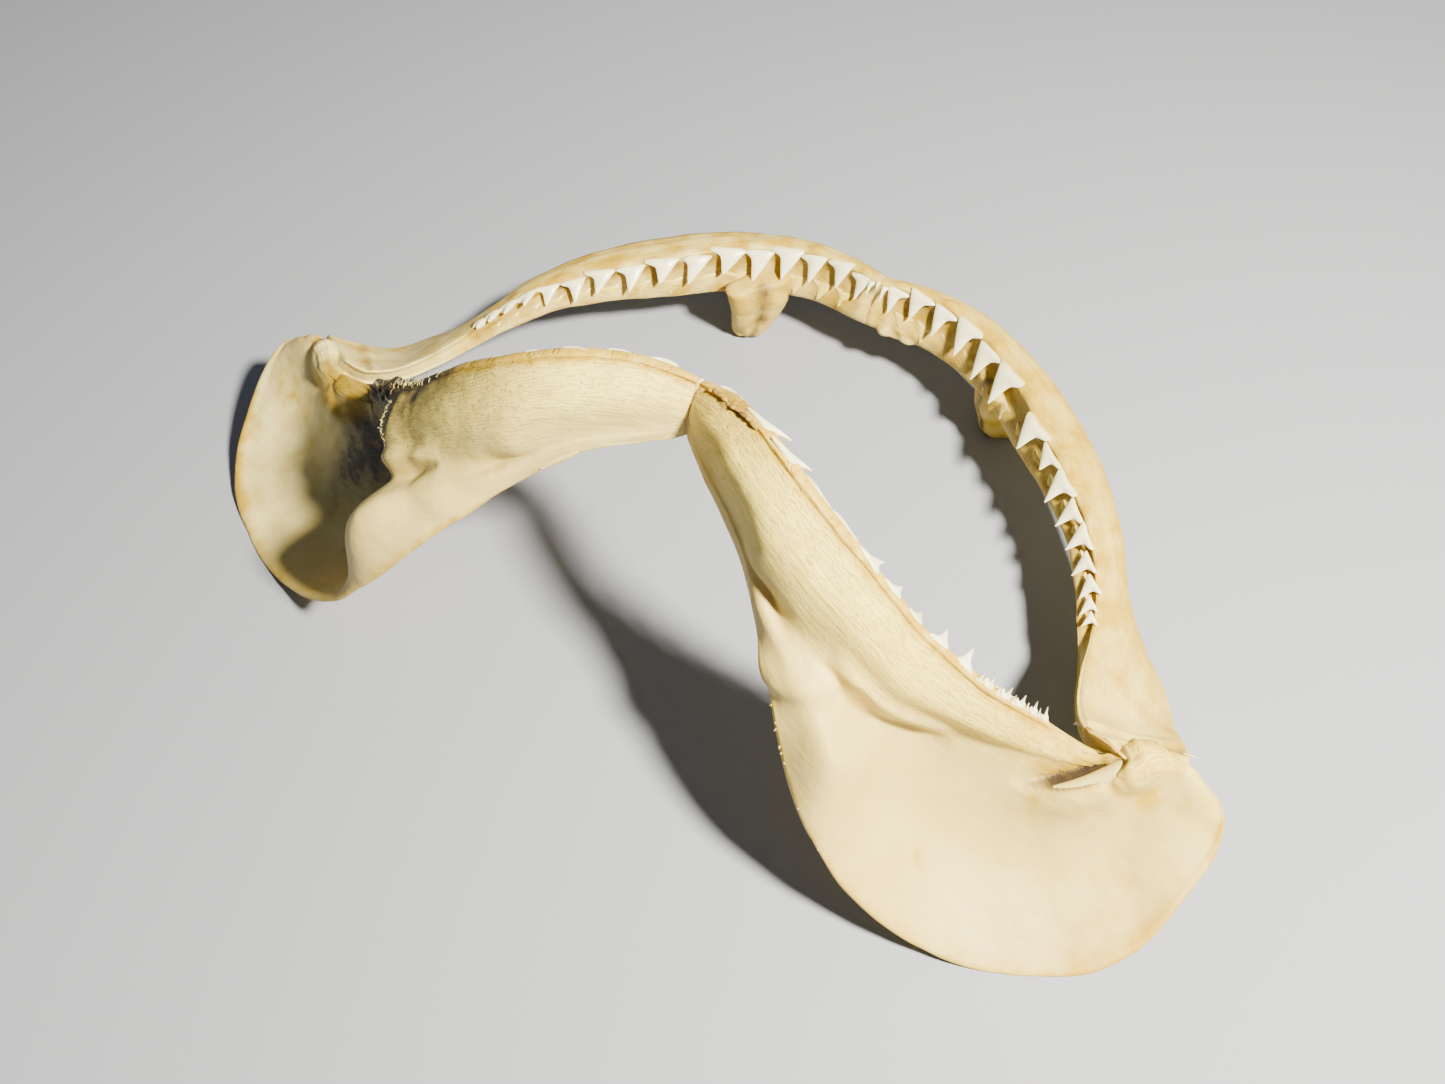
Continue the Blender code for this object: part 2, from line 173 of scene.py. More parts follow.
# %% Stations of the lower cartilage, mm
LOWER = table_columns((
    ((0.2, 1.0, 89.0), (0.2, -4.0, 80.0), (0.2, -4.5, 76.0), 1.0, 0.0, 8.0, 6.0),
    ((8.0, -1.5, 91.5), (8.0, -10.0, 80.0), (8.0, -11.4, 75.4), 2.5, -0.3, 10.5, 8.0),
    ((17.0, -5.5, 93.5), (16.0, -16.0, 79.5), (15.5, -17.4, 74.8), 3.5, -0.3, 12.0, 8.0),
    ((26.5, -11.0, 94.0), (24.0, -21.5, 77.5), (23.0, -22.6, 71.6), 3.8, -0.3, 12.5, 7.0),
    ((36.0, -15.0, 91.5), (31.0, -28.0, 73.5), (28.5, -26.5, 66.5), 3.8, -0.3, 12.5, 5.0),
    ((45.0, -17.5, 87.0), (39.2, -31.0, 70.5), (34.5, -32.5, 62.5), 3.5, -1.0, 12.0, 4.2),
    ((53.0, -19.0, 82.0), (47.4, -32.0, 66.5), (41.0, -40.0, 57.5), 3.3, -1.5, 11.5, 3.6),
    ((60.0, -19.5, 76.0), (54.9, -33.0, 62.0), (48.0, -47.5, 51.0), 3.2, -3.5, 11.0, 3.2),
    ((67.0, -20.0, 70.0), (60.9, -33.0, 57.0), (56.5, -54.5, 41.0), 3.2, -7.5, 10.5, 3.2),
    ((72.5, -20.0, 66.5), (66.4, -31.5, 51.5), (65.5, -58.5, 30.5), 3.4, -2.5, 10.5, 3.2),
    ((78.5, -19.5, 61.5), (73.5, -27.5, 44.5), (77.0, -60.0, 17.5), 3.5, 4.5, 10.0, 3.0),
    ((85.5, -17.5, 55.0), (82.0, -23.0, 38.0), (92.5, -59.0, 6.5), 3.0, 8.0, 9.5, 3.0),
    ((92.0, -14.0, 48.0), (91.0, -20.0, 33.5), (109.0, -55.0, 1.0), 2.5, 9.0, 9.0, 3.0),
    ((98.0, -10.5, 41.5), (100.0, -17.5, 31.0), (123.0, -48.5, 0.4), 2.0, 8.5, 8.0, 3.0),
    ((104.0, -8.5, 37.0), (108.0, -15.5, 30.5), (133.0, -41.5, 2.2), 1.5, 7.5, 7.0, 3.2),
    ((110.5, -7.5, 34.5), (114.0, -12.0, 30.0), (140.0, -32.0, 6.0), 1.0, 6.5, 6.5, 3.6),
    ((117.0, -5.5, 33.5), (120.0, -7.5, 30.5), (143.0, -21.5, 12.5), 0.8, 4.5, 7.0, 4.2),
    ((122.0, -1.0, 33.5), (126.0, -3.0, 31.5), (145.5, -9.5, 17.5), 0.8, 2.0, 8.0, 5.0),
    ((129.0, 2.0, 32.0), (133.0, 0.0, 30.0), (144.0, -2.0, 22.5), 0.5, 0.5, 7.0, 5.0),
    ((132.5, 3.0, 29.5), (135.0, 2.0, 28.0), (140.5, 1.0, 25.0), 0.2, 0.0, 3.0, 3.0),
))
LOWER_LAST = len(LOWER[0]) - 1
print("lower gum line, mm", round(lengths_along(LOWER[0], np.arange(LOWER_LAST + 1.0))[-1]))


# %% Section of the lower cartilage
FACE_CUTS = 46          # points down the outer face of one section
CREST_CROWDING = 1.25   # above 1, the points lie closer together near the crest
EDGE_ROUND = 0.35       # how far an edge stands past the table, as a share of its thickness
RIDGE_ROW, RIDGE_SPAN, DISH_SPAN = 9.0, 0.9, 1.1        # the fold, in rows of the table
FOLD_RIDGE, FOLD_DISH, FOLD_DISH_ROW = 4.5, 4.0, 10.7   # mm by which the wing dried sharper
EDGE_RIDGE, EDGE_DISH, EDGE_DISH_ROW = 4.6, 5.5, 11.0   # the same for the bar's lower edge
FOLD_SHARE = {1: 0.15, -1: 1.0, 0: 0.0}                 # most on the animal's right


def lower_section(row, side=0):
    """Ring of (point, distance down from the crest, place) at one station.

    The place is 1 at the crest and 5 at the rim on the outer face, and the same below zero inside.
    """
    crest, edge, rim, bulge, hollow, bar, wing = (spline(c, row) for c in LOWER)
    ridge = near(row - RIDGE_ROW, RIDGE_SPAN)
    fold = FOLD_DISH * near(row - FOLD_DISH_ROW, DISH_SPAN) - FOLD_RIDGE * ridge
    hollow += FOLD_SHARE[side] * fold
    along = run_direction(LOWER[0] + LOWER[2], row)
    bar_out = unit(np.cross(edge - crest, along))
    edge_fold = EDGE_RIDGE * ridge - EDGE_DISH * near(row - EDGE_DISH_ROW, DISH_SPAN)
    edge = edge + bar_out * FOLD_SHARE[side] * edge_fold
    wing_out = unit(np.cross(rim - edge, along))
    middle = (crest + edge) / 2 + bar_out * bulge
    dish = (edge + rim) / 2 - wing_out * hollow
    knots = np.array((crest, middle, edge, dish, rim))
    depths = np.array((0.3 * bar, bar, 0.5 * (bar + wing), wing, 0.5 * wing))
    outer, inner = [], []
    down, before = 0.0, crest
    for step in 4.0 * np.linspace(0.0, 1.0, FACE_CUTS) ** CREST_CROWDING:
        turn = clamped((step - 1.0) / 2.0)
        out = unit(bar_out * (1 - turn) + wing_out * turn)
        point = spline(knots, step)
        down += np.linalg.norm(point - before)
        before = point
        outer.append((point, down, 1.0 + step))
        inner.append((point - out * spline(depths, step), down, -1.0 - step))
    return outer + [edge_round(outer, inner, -1)] + inner[::-1] + [edge_round(outer, inner, 0)]


def edge_round(outer, inner, end):
    """A point that rounds off the crest (end 0) or the rim (end -1) of a section."""
    first, second = outer[end][0], inner[end][0]
    further = outer[1 if end == 0 else -2][0]
    away = unit(first - further)
    point = (first + second) / 2 + away * EDGE_ROUND * np.linalg.norm(first - second)
    return point, outer[end][1], outer[end][2]


# %% [markdown]
# ## The upper cartilage
# The upper half is a bar too, but with its teeth on the inner edge. One station holds the gum
# line, the outer edge, the heights of both sides and the bulge of the top. The section is one
# closed curve through nine points, with a recess under the gum where the next teeth lie.

# %% Stations of the upper cartilage, mm
UPPER = table_columns((
    ((0.2, 106.0, 30.5), (0.2, 112.0, 28.0), 14.0, 10.0, 1.0),
    ((14.0, 107.5, 31.0), (15.5, 114.0, 28.5), 15.0, 11.0, 1.2),
    ((29.0, 104.5, 31.0), (32.0, 112.5, 28.5), 15.0, 11.0, 1.5),
    ((46.0, 95.0, 30.5), (50.5, 105.0, 28.0), 14.0, 11.0, 1.6),
    ((60.5, 82.0, 30.0), (68.0, 93.0, 27.0), 12.5, 10.0, 1.8),
    ((74.5, 69.5, 29.0), (83.0, 79.0, 25.5), 10.5, 9.0, 1.8),
    ((87.5, 55.5, 27.0), (96.0, 62.5, 22.0), 8.0, 7.5, 1.6),
    ((95.5, 42.0, 24.5), (103.5, 51.0, 16.0), 6.0, 5.5, 1.4),
    ((99.5, 30.0, 23.5), (113.0, 42.5, 8.5), 5.0, 4.0, 1.2),
    ((101.5, 17.0, 26.0), (122.0, 36.0, 3.8), 4.5, 3.0, 0.5),
    ((104.0, 5.5, 29.5), (127.5, 26.5, 5.0), 4.5, 3.0, -0.5),
    ((107.5, -2.0, 34.0), (131.0, 15.0, 16.0), 5.0, 4.0, -0.5),
    ((113.0, -3.5, 36.5), (130.5, 6.5, 27.5), 4.0, 4.0, 0.0),
))
UPPER_LAST = len(UPPER[0]) - 1
KNOT_CUTS = 8           # steps from one of a section's nine points to the next
print("upper gum line, mm", round(lengths_along(UPPER[0], np.arange(UPPER_LAST + 1.0))[-1]))


def upper_frame(row):
    """Gum point, direction of the run, direction out of the face, direction to the mouth."""
    gum, outside = spline(UPPER[0], row), spline(UPPER[1], row)
    along = run_direction(UPPER[0] + UPPER[1], row)
    out = unit(np.cross(along, gum - outside))
    if out[2] < 0:
        out = -out
    return gum, along, out, unit(gum - outside)


def upper_section(row, side=0):
    """Ring of (point, distance round from the gum line, place among the nine points)."""
    gum, _, out, inward = upper_frame(row)
    outside, high, outside_high, bulge = (spline(c, row) for c in UPPER[1:])
    recess = fades(row, 7.6, 1.4)
    knots = np.array((
        gum,
        (gum + outside) / 2 + out * bulge,
        outside,
        outside - out * outside_high * 0.5 - inward * 1.0,
        outside - out * outside_high + inward * 1.0,
        (gum + outside) / 2 - out * (high + outside_high) / 2,
        gum - out * high + inward * (4.2 * recess - 4.0),
        gum - out * high * 0.8 + inward * (4.4 * recess - 3.0),
        gum - out * high * 0.35 - inward * (1.0 - 0.2 * recess),
    ))
    ring, round_way, before = [], 0.0, gum
    for step in np.arange(0.0, len(knots), 1.0 / KNOT_CUTS):
        point = closed_spline(knots, step)
        round_way += np.linalg.norm(point - before)
        before = point
        ring.append((point, round_way, step))
    return ring


# %% [markdown]
# ## Drawing a closed skin
# A circle is made first, its points are laid on the first ring, and its edge is extruded from ring
# to ring. Everything round or bar-like here is drawn this way: the four cartilages, the knobs under
# the upper jaw, the seams and the strands of tissue. On a cartilage each vertex also keeps how far
# it is along the jaw and how far down the section, because fibres and stains follow those.

# %% Skin by extrusion
HALF_GAP = 0.15          # mm from the middle to the end face of each half
END_SPREAD = 0.12        # mm by which each further ring keeps off the middle
FACTS = ("along", "down", "place", "row", "amber", "brown", "grey", "pale", "gum", "grain")


def new_surface():
    """An empty bmesh with the layers that the finishes read."""
    surface = bmesh.new()
    surface.verts.layers.int.new("order")
    for name in FACTS:
        surface.verts.layers.float.new(name)
    return surface


def layers_of(surface, *names):
    """The layers of those names, or all that the finishes read."""
    return [surface.verts.layers.float[name] for name in names or FACTS]


def round_angles(count):
    """Angles of equal steps once round."""
    return np.arange(count) * math.tau / count


def skin(surface, rings):
    """Draws a closed skin over equal rings of points, in mm; returns its vertices by ring."""
    order = surface.verts.layers.int["order"]
    circle = bmesh.ops.create_circle(surface, segments=len(rings[0]), radius=1.0)
    verts = circle["verts"]
    for i, vert in enumerate(verts):
        vert[order] = i
    first_loop = list({e for v in verts for e in v.link_edges})
    front, laid = first_loop, []
    for number, ring in enumerate(rings):
        if number > 0:
            grown = bmesh.ops.extrude_edge_only(surface, edges=front)["geom"]
            verts = [g for g in grown if isinstance(g, bmesh.types.BMVert)]
            fresh = set(verts)
            front = [g for g in grown if isinstance(g, bmesh.types.BMEdge)
                     and g.verts[0] in fresh and g.verts[1] in fresh]
        for vert in verts:
            vert.co = Vector((np.asarray(ring[vert[order]]) + SHIFT) * MM)
        laid.append(sorted(verts, key=lambda v: v[order]))
    for loop in (first_loop, front):
        bmesh.ops.edgeloop_fill(surface, edges=loop)
    return laid


def close_off(surface):
    """Points every face of a piece outwards."""
    bmesh.ops.recalc_face_normals(surface, faces=surface.faces)
    surface.normal_update()


def loft(section, last, per_row, line, side, end_row=None):
    """A closed skin through the sections of one side, with its measures kept on each vertex."""
    rows = np.linspace(0.0, last, last * per_row + 1)
    if end_row:
        rows = np.insert(rows, 1, end_row)
    distances = lengths_along(line, rows)
    sections = [section(row, side) for row in rows]
    rings = []
    for number, ring in enumerate(sections):
        points = np.array([entry[0] for entry in ring])
        nearest = HALF_GAP + END_SPREAD * number
        points[:, 0] = HALF_GAP if number == 0 else np.maximum(points[:, 0], nearest)
        rings.append(points * (side, 1, 1))
    surface = new_surface()
    layers = layers_of(surface)[:4]
    for number, verts in enumerate(skin(surface, rings)):
        for vert, (_, down, place) in zip(verts, sections[number]):
            for layer, value in zip(layers, (distances[number], down, place, rows[number])):
                vert[layer] = value
    close_off(surface)
    return surface


# %% [markdown]
# ## Where the teeth stand
# Crowns are widest about a third of the way back and smallest at the hinge. The crowns of a side
# are laid end to end along the gum line, and a place along the gum can then be read as a crown's
# number and how far across that crown it is. The gum and the next teeth follow the same beat.

# %% Crown widths and places
UPPER_TEETH = 16
LOWER_TEETH = 15
UPPER_START, LOWER_START = 2.2, 4.0      # mm from the middle to the first crown
UPPER_SIZES = (7.2, 10.6, 4.0)           # width of the first, the widest and the last crown
UPPER_WIDEST_ROW = 5
LOWER_SIZES = (8.4, 3.6)
LOWER_LAST_ROW = 13.2                    # station where the lower teeth end


def upper_tooth_width(number):
    """Crown width of an upper tooth, mm."""
    first, widest, last = UPPER_SIZES
    if number <= UPPER_WIDEST_ROW:
        return widest - (widest - first) * ((UPPER_WIDEST_ROW - number) / UPPER_WIDEST_ROW) ** 1.5
    back = (number - UPPER_WIDEST_ROW) / (UPPER_TEETH - 1 - UPPER_WIDEST_ROW)
    return widest - (widest - last) * back ** 1.6


upper_widths = np.array([upper_tooth_width(i) for i in range(UPPER_TEETH)])
upper_ends = UPPER_START + np.concatenate(([0.0], np.cumsum(upper_widths)))
lower_shares = np.linspace(0.0, 1.0, LOWER_TEETH)
lower_widths = LOWER_SIZES[0] - (LOWER_SIZES[0] - LOWER_SIZES[1]) * lower_shares ** 1.5
lower_reach = lengths_along(LOWER[0], np.linspace(0.0, LOWER_LAST_ROW, 200))[-1]
lower_ends = LOWER_START + np.concatenate(([0.0], np.cumsum(lower_widths)))
lower_widths *= lower_reach / lower_ends[-1]
lower_ends *= lower_reach / lower_ends[-1]
print("upper crowns, mm", [round(w, 1) for w in upper_widths])
print("lower crowns, mm", [round(w, 1) for w in lower_widths])


def beat(ends, distance):
    """1 at the middle of a crown and 0 between two, at a distance along the gum."""
    if distance <= ends[0] or distance >= ends[-1]:
        return 0.0
    number = int(np.searchsorted(ends, distance)) - 1
    share = (distance - ends[number]) / (ends[number + 1] - ends[number])
    return math.sin(math.pi * share) ** 2


def even_beat(distance):
    """The same for every other upper crown only: those that stand back, half under the gum."""
    number = int(np.searchsorted(upper_ends, distance)) - 1
    return beat(upper_ends, distance) if number % 2 == 0 else 0.0


def row_at(line, distance):
    """Table row at a distance along a line of the table."""
    rows = np.linspace(0.0, len(line) - 1.0, 600)
    return float(np.interp(distance, lengths_along(line, rows), rows))


# %% [markdown]
# ## Relief and stains
# A dried cartilage is never plain: it has soft lumps, fine ridges along its length, a groove
# under the gum line and stains where tissue dried on it. Relief is a move along the normal, worked
# out vertex by vertex. Stains are numbers kept on the vertices, which the materials read; some of
# them are painted light and shade, in hollows, cracks and creases and along edges turned from the
# lamp. Both are
# told where the vertex is: in space, along the jaw, down the section, and on which side.

# %% Helpers for relief and stains
Spot = namedtuple("Spot", "point along down place row side")


def lumps(point, size, seed):
    """Smooth noise from -1 to 1, with lumps of about that size in mm."""
    return noise.noise(Vector(point) / size + Vector((seed, seed * 1.7, 0.0)))


def cloud(point, size, seed):
    """The same from 0 to 1."""
    return 0.5 + 0.5 * lumps(point, size, seed)


def between(value, start, end, soft):
    """1 from start to end, falling straight to 0 over a soft border outside them."""
    return ramp(1, 0, (start - value) / soft) * fades(value, end, soft)


def gum_wander(along):
    """How far the gum line strays from its even course, mm."""
    return 0.4 * lumps((along, 0.0, 0.0), 9.0, 5.0)


def away_from(spot, place):
    """Distance in mm from a place that both halves have."""
    point = np.array((abs(spot.point[0]), spot.point[1], spot.point[2]))
    return float(np.linalg.norm(point - place))


# %% Relief of the lower cartilage
JOINT_BOSS = np.array((120.5, -3.0, 32.0))     # round knob in the middle of the joint
BOSS_TOP, BOSS_GROOVE = 5.0, 8.6               # mm from its middle
OUTER_KNOB = np.array((136.0, -1.0, 27.0))     # the bulge outside it
JOINT_SLOPE, JOINT_ROW = 5.8, 16.1             # the joint's lip: mm down per row, row at the crest
LIP_RISE, CRACK_DEPTH = 2.6, 5.2               # mm
LIP_SHARE = {1: 1.0, -1: 0.15}
LEDGE_ROWS, LEDGE_PLACE, LEDGE_DROP = (7.4, 10.2), 3.04, 4.6
PIT_ROW, PIT_PLACE, PIT_DEPTH = 4.6, 3.35, 3.2
WEB_ROW, WEB_SLOPE, WEB_DROP = 7.6, 0.75, 2.2  # the edge at which the web under the bar ends
WEB_SHARE = {1: 1.0, -1: 0.3}
GUM_END = 13.6                                 # row behind which the crest carries no gum
FOLDED_ALONG = (9.0, 16.0)                     # mm from the middle, on the animal's left
NOTCH_ROW, NOTCH_DEPTH = 12.7, 4.2             # behind the torn end, on the animal's right


def below_lip(row, down):
    """Distance below the lip of the joint, mm."""
    return down - JOINT_SLOPE * (JOINT_ROW - row)


def joint_lip(spot):
    """Distance below the lip, and how much is here of its shoulder and of the crack above it."""
    shoulder = grows(spot.row, 12.2, 2.2) * fades(spot.row, 17.6, 1.6)
    crack = grows(spot.row, 12.6, 1.2) * fades(spot.row, 16.5, 0.5)
    crack *= ramp(0.15, 1, spot.down / 3.0)
    here = LIP_SHARE[spot.side] * (spot.place > 0)
    return below_lip(spot.row, spot.down), here * shoulder, here * crack


def drop_off(depth, past, steep, length):
    """How deep it is past an edge, mm: steep at first, then running out over the length."""
    return depth * (1.0 - math.exp(-past / steep)) * math.exp(-past / length) if past > 0 else 0.0


def joint_relief(spot):
    """The lip, the boss with its rings and the outer knob, mm."""
    below, shoulder, crack = joint_lip(spot)
    cut = ramp(0, 1, (0.5 - below) / 1.1) * math.exp(min(0.0, below + 0.6) / 4.5)
    move = shoulder * LIP_RISE * near(below - 4.0, 4.6) - crack * CRACK_DEPTH * cut
    reach = away_from(spot, JOINT_BOSS)
    move += 1.1 * fades(reach, BOSS_TOP, 3.0) - 0.7 * near(reach - BOSS_GROOVE, 1.2)
    move += 0.2 * math.sin(1.8 * reach) * fades(reach, 8.0, 3.0)
    return move + 0.9 * near(away_from(spot, OUTER_KNOB), 5.0)


def crease_relief(spot):
    """The ledge under the bar, deepest behind the fold, the pit in front of it and the web, mm."""
    place, row = spot.place, spot.row
    past = place - LEDGE_PLACE
    ledge = between(row, *LEDGE_ROWS, 0.9)
    move = ledge * (1.8 * near(past + 0.20, 0.20))
    move -= drop_off(ledge * LEDGE_DROP, past, 0.05, 0.30)
    move -= PIT_DEPTH * near(row - PIT_ROW, 0.9) * near(place - PIT_PLACE, 0.45)
    beyond = row - WEB_ROW + WEB_SLOPE * (place - 3.0)
    web = WEB_SHARE[spot.side] * grows(place, 2.8, 0.4)
    move += web * 1.1 * near(beyond + 0.25, 0.45)
    return move - drop_off(web * WEB_DROP, beyond, 0.2, 1.3)


def folded_tissue(spot):
    """How much is here of the tissue folded along the crest, beside the middle."""
    return between(spot.along, *FOLDED_ALONG, 2.0) * fades(spot.down, 1.5, 2.0)


def lower_relief(spot):
    """Move along the normal, mm."""
    point, along, down, place, row, side = spot
    gummed = ramp(0, 1, (GUM_END - row) / 0.8)
    move = 0.40 * lumps(point, 14.0, 3.0) + 0.14 * lumps(point, 4.5, 7.0)
    move += 0.12 * lumps((along * 0.22, down * 1.3, place * 9.0), 3.0, 11.0)
    if place > 0:
        groove = 0.25 * near(down - 0.9 - gum_wander(along), 0.4)
        move += gummed * (0.15 * near(down - 0.1, 0.5) - groove)
        move += crease_relief(spot)
        rim_bead = 0.45 * near(place - 4.93, 0.1) - 0.35 * near(place - 4.72, 0.1)
        move += grows(row, 9.0, 2.0) * rim_bead
    move += joint_relief(spot)
    if side > 0:
        move += 0.9 * folded_tissue(spot) * abs(lumps(point, 2.2, 61.0))
    else:
        torn = between(row, 9.6, 11.7, 0.5) * fades(down, 3.0, 3.0)
        move += torn * (0.5 + 1.3 * lumps(point, 2.4, 63.0) + 0.5 * lumps(point, 1.0, 65.0))
        move -= NOTCH_DEPTH * near(row - NOTCH_ROW, 0.8) * fades(down, 8.0, 6.0) * (place > 0)
    return move


# %% Stains and painted shade of the lower cartilage
STAIN_END = 13.8                               # row behind which the gum left no stain
BOWL_SPOTS = ((103.0, -21.0, 24.0), (86.5, -42.0, 12.0), (127.0, -7.0, 25.0))
SPOT_SIZE = 2.2                                # mm
HOLLOW_SHADE_STRENGTH = 0.95                             # how dark the painted shade in the hollow behind the right fold is


def lower_stains_and_shade(spot):
    """Amber, brown, grey, pale, gum line and grain, each from 0 to 1."""
    point, _, down, place, row, side = spot
    outside = place > 0
    gummed = ramp(0, 1, (STAIN_END - row) / 0.8)
    patch, fine = cloud(point, 7.0, 21.0), cloud(point, 2.5, 23.0)
    grey = 0.0
    pale = 0.15 * near(down - 0.2, 0.5) * gummed
    if outside:
        # under the gum line, along the rim and behind the fold; the amber and brown under the ledge
        # and in the pit are painted shade
        amber = gummed * near(down - 0.5, 1.3) * (0.35 + 0.5 * fine)
        amber += 1.2 * fine * near(place - 4.97, 0.10)
        amber += 0.45 * between(row, 13.8, 15.4, 0.5) * near(place - 4.95, 0.22)
        amber += 0.80 * between(row, 12.2, 15.0, 1.5) * fades(down, 8.0, 6.0) * patch
        # painted shade: amber and a thin brown line in the crease under the ledge
        hung = between(row, *LEDGE_ROWS, 0.9)
        amber += 0.55 * hung * near(place - LEDGE_PLACE - 0.08, 0.10) * patch
        # painted shade in the pit
        amber += 0.5 * near(row - PIT_ROW, 1.0) * near(place - 3.4, 0.5) * patch
        brown = 0.35 * hung * near(place - LEDGE_PLACE - 0.05, 0.05) * fine
        pale += 0.8 * near(row - 7.2, 0.5) * near(place - 3.25, 0.16) * patch * (side > 0)
    else:
        # where the skin with the next teeth lay
        amber = (0.25 + 0.45 * near(down - 7.5, 4.0)) * gummed * (0.4 + patch)
        amber *= grows(down, 0.0, 2.0)
        brown = 0.5 * near(down - 8.0, 3.0) * gummed * patch
        pale += 0.55 * grows(place, -4.9, 0.3) * grows(down, 3.0, 4.0)
    # the joint: painted shade in its crack and in the dip above it, the flesh below it, the boss
    # and the crest in front of it
    below, _, crack = joint_lip(spot)
    # painted shade: brown, amber and soot colour in the crack and the dip above it
    brown += crack * 1.2 * near(below + 0.3, 0.8)
    amber += crack * 0.9 * near(below + 2.8, 3.5)
    grey += 0.8 * crack * near(below + 0.1, 0.6)
    pale += 0.5 * between(row, 13.7, 15.2, 0.4) * between(down, 3.0, 12.0, 2.0) * patch * outside
    # the second term is painted shade: amber over the right half behind row 11, where less light
    # falls
    amber += 0.35 * patch * fine + 0.35 * between(row, 11.0, 19.0, 2.0) * patch * (side < 0)
    amber += 0.9 * between(row, 14.5, 19.0, 2.5) * max(0.0, fine * patch - 0.2)
    amber += 0.35 * near(away_from(spot, JOINT_BOSS) - BOSS_GROOVE, 1.5)
    amber += 0.3 * patch * near(row - 18.0, 1.6) + 0.6 * near(down, 1.6) * gummed * fine
    brown += 0.6 * near(row - 15.9, 0.3) * near(down, 1.5)
    if side > 0:
        for middle in BOWL_SPOTS:
            amber += 3.5 * near(away_from(spot, middle), SPOT_SIZE) * max(0.0, fine - 0.25)
        brown += 0.7 * folded_tissue(spot) * fine
    else:
        # soot where it is torn, grey along the crest towards the torn end, painted shade on the
        # bowl towards the hinge, and painted shade in the hollow behind the fold
        torn = between(row, 9.0, 12.0, 0.4) * fades(down, 13.0, 5.0)
        grey += 1.5 * torn * (0.55 + 0.6 * fine)
        grey += 1.0 * between(row, 7.4, 12.0, 0.9) * near(down - 0.4, 1.5)
        # grey with some amber along the crest, growing from row 4 towards the torn end and reaching
        # further down the face there
        haze = grows(row, 4.2, 3.4) * fades(row, 12.0, 1.0)
        crest_grey = haze * fades(down, 3.0, 4.0 + 15.0 * haze) * (0.4 + 1.0 * patch * fine)
        # the second term is painted shade: grey over the right half's bowl towards the hinge, where
        # less light falls
        grey += 1.35 * crest_grey + 0.22 * between(row, 12.8, 17.0, 1.0) * patch * outside
        amber += 0.5 * crest_grey
        amber += 0.9 * between(row, 13.1, 14.7, 0.6) * fades(down, 11.0, 5.0) * (0.3 + patch)
        # painted shade: the hollow behind the fold is darkened with soot colour where shade falls
        painted_hollow_shade = HOLLOW_SHADE_STRENGTH * between(row, 10.2, 12.7, 0.9) * grows(down, 9.0, 5.0)
        painted_hollow_shade *= fades(down, 28.0, 24.0)
        pale += (0.6 * grows(row, 10.5, 2.5) + 0.15) * outside
        grey = (grey + painted_hollow_shade) if outside else 0.35 * grey * fades(down, 3.0, 4.0)
        brown += 0.5 * near(row - 13.1, 0.6) * fades(down, 10.0, 8.0) * (0.4 + fine)
    gum = gummed * (1.0 < place < 3.0)
    return amber, brown, grey, pale, gum, ramp(1.0, 0.12, (place - 2.0) / 1.2) if outside else 0.6


# %% Relief, stains and painted shade of the upper cartilage
PLATE_FOLD_ROW = 10.8     # row where a fold crosses the plate near the joint
CREASE_PLACE, CREASE_WIDTH, CREASE_ROWS = 1.2, 0.12, (3.0, 7.0)    # along the top of the bar
EDGE_ROWS = (9.3, 10.8)   # where the plate's inner edge is brown and pale


def toothed_part(along):
    """1 where the gum line carries teeth, 0 past both ends of the row."""
    return grows(along, 1.0, 2.0) * ramp(0, 1, (upper_ends[-1] + 1.0 - along) / 3.0)


def front_beads(spot):
    """Beads along the lower edge of the inner wall, in front on the animal's left; their pale
    colour is a painted highlight.
    """
    share = between(spot.along, 2.5, 15.0, 1.5) * near(spot.place - 6.5, 0.55) * (spot.side > 0)
    return share * max(0.0, lumps(spot.point, 2.3, 91.0) + 0.15)


def upper_relief(spot):
    """Move along the normal, mm."""
    point, along, down, place, row, _ = spot
    toothed = toothed_part(along)
    move = 0.35 * lumps(point, 13.0, 31.0) + 0.14 * lumps(point, 4.0, 37.0)
    move += 0.12 * lumps((along * 0.25, down * 1.3, 0.0), 3.0, 41.0)
    move -= 0.35 * near(min(place, 9.0 - place), 0.45) * toothed
    if place < 2.0:
        move += 0.9 * even_beat(along) * near(down - 1.6, 1.7) * toothed
        crease = near(place - CREASE_PLACE, CREASE_WIDTH)
        move -= 0.35 * crease * between(row, *CREASE_ROWS, 1.0)
        move += between(row, 9.6, 12.0, 0.3) * 0.5 * near(row - PLATE_FOLD_ROW + 0.08, 0.06)
        move -= 0.8 * grows(row, PLATE_FOLD_ROW, 0.12) * fades(row, 11.2, 0.8)
    if place > 5.5:
        between_teeth = 1.0 - beat(upper_ends, along)
        move += 0.45 * between_teeth * near(place - 7.4, 0.8) * toothed
        move += 2.8 * front_beads(spot) - 0.4 * near(place - 8.3, 0.35) * toothed
    return move


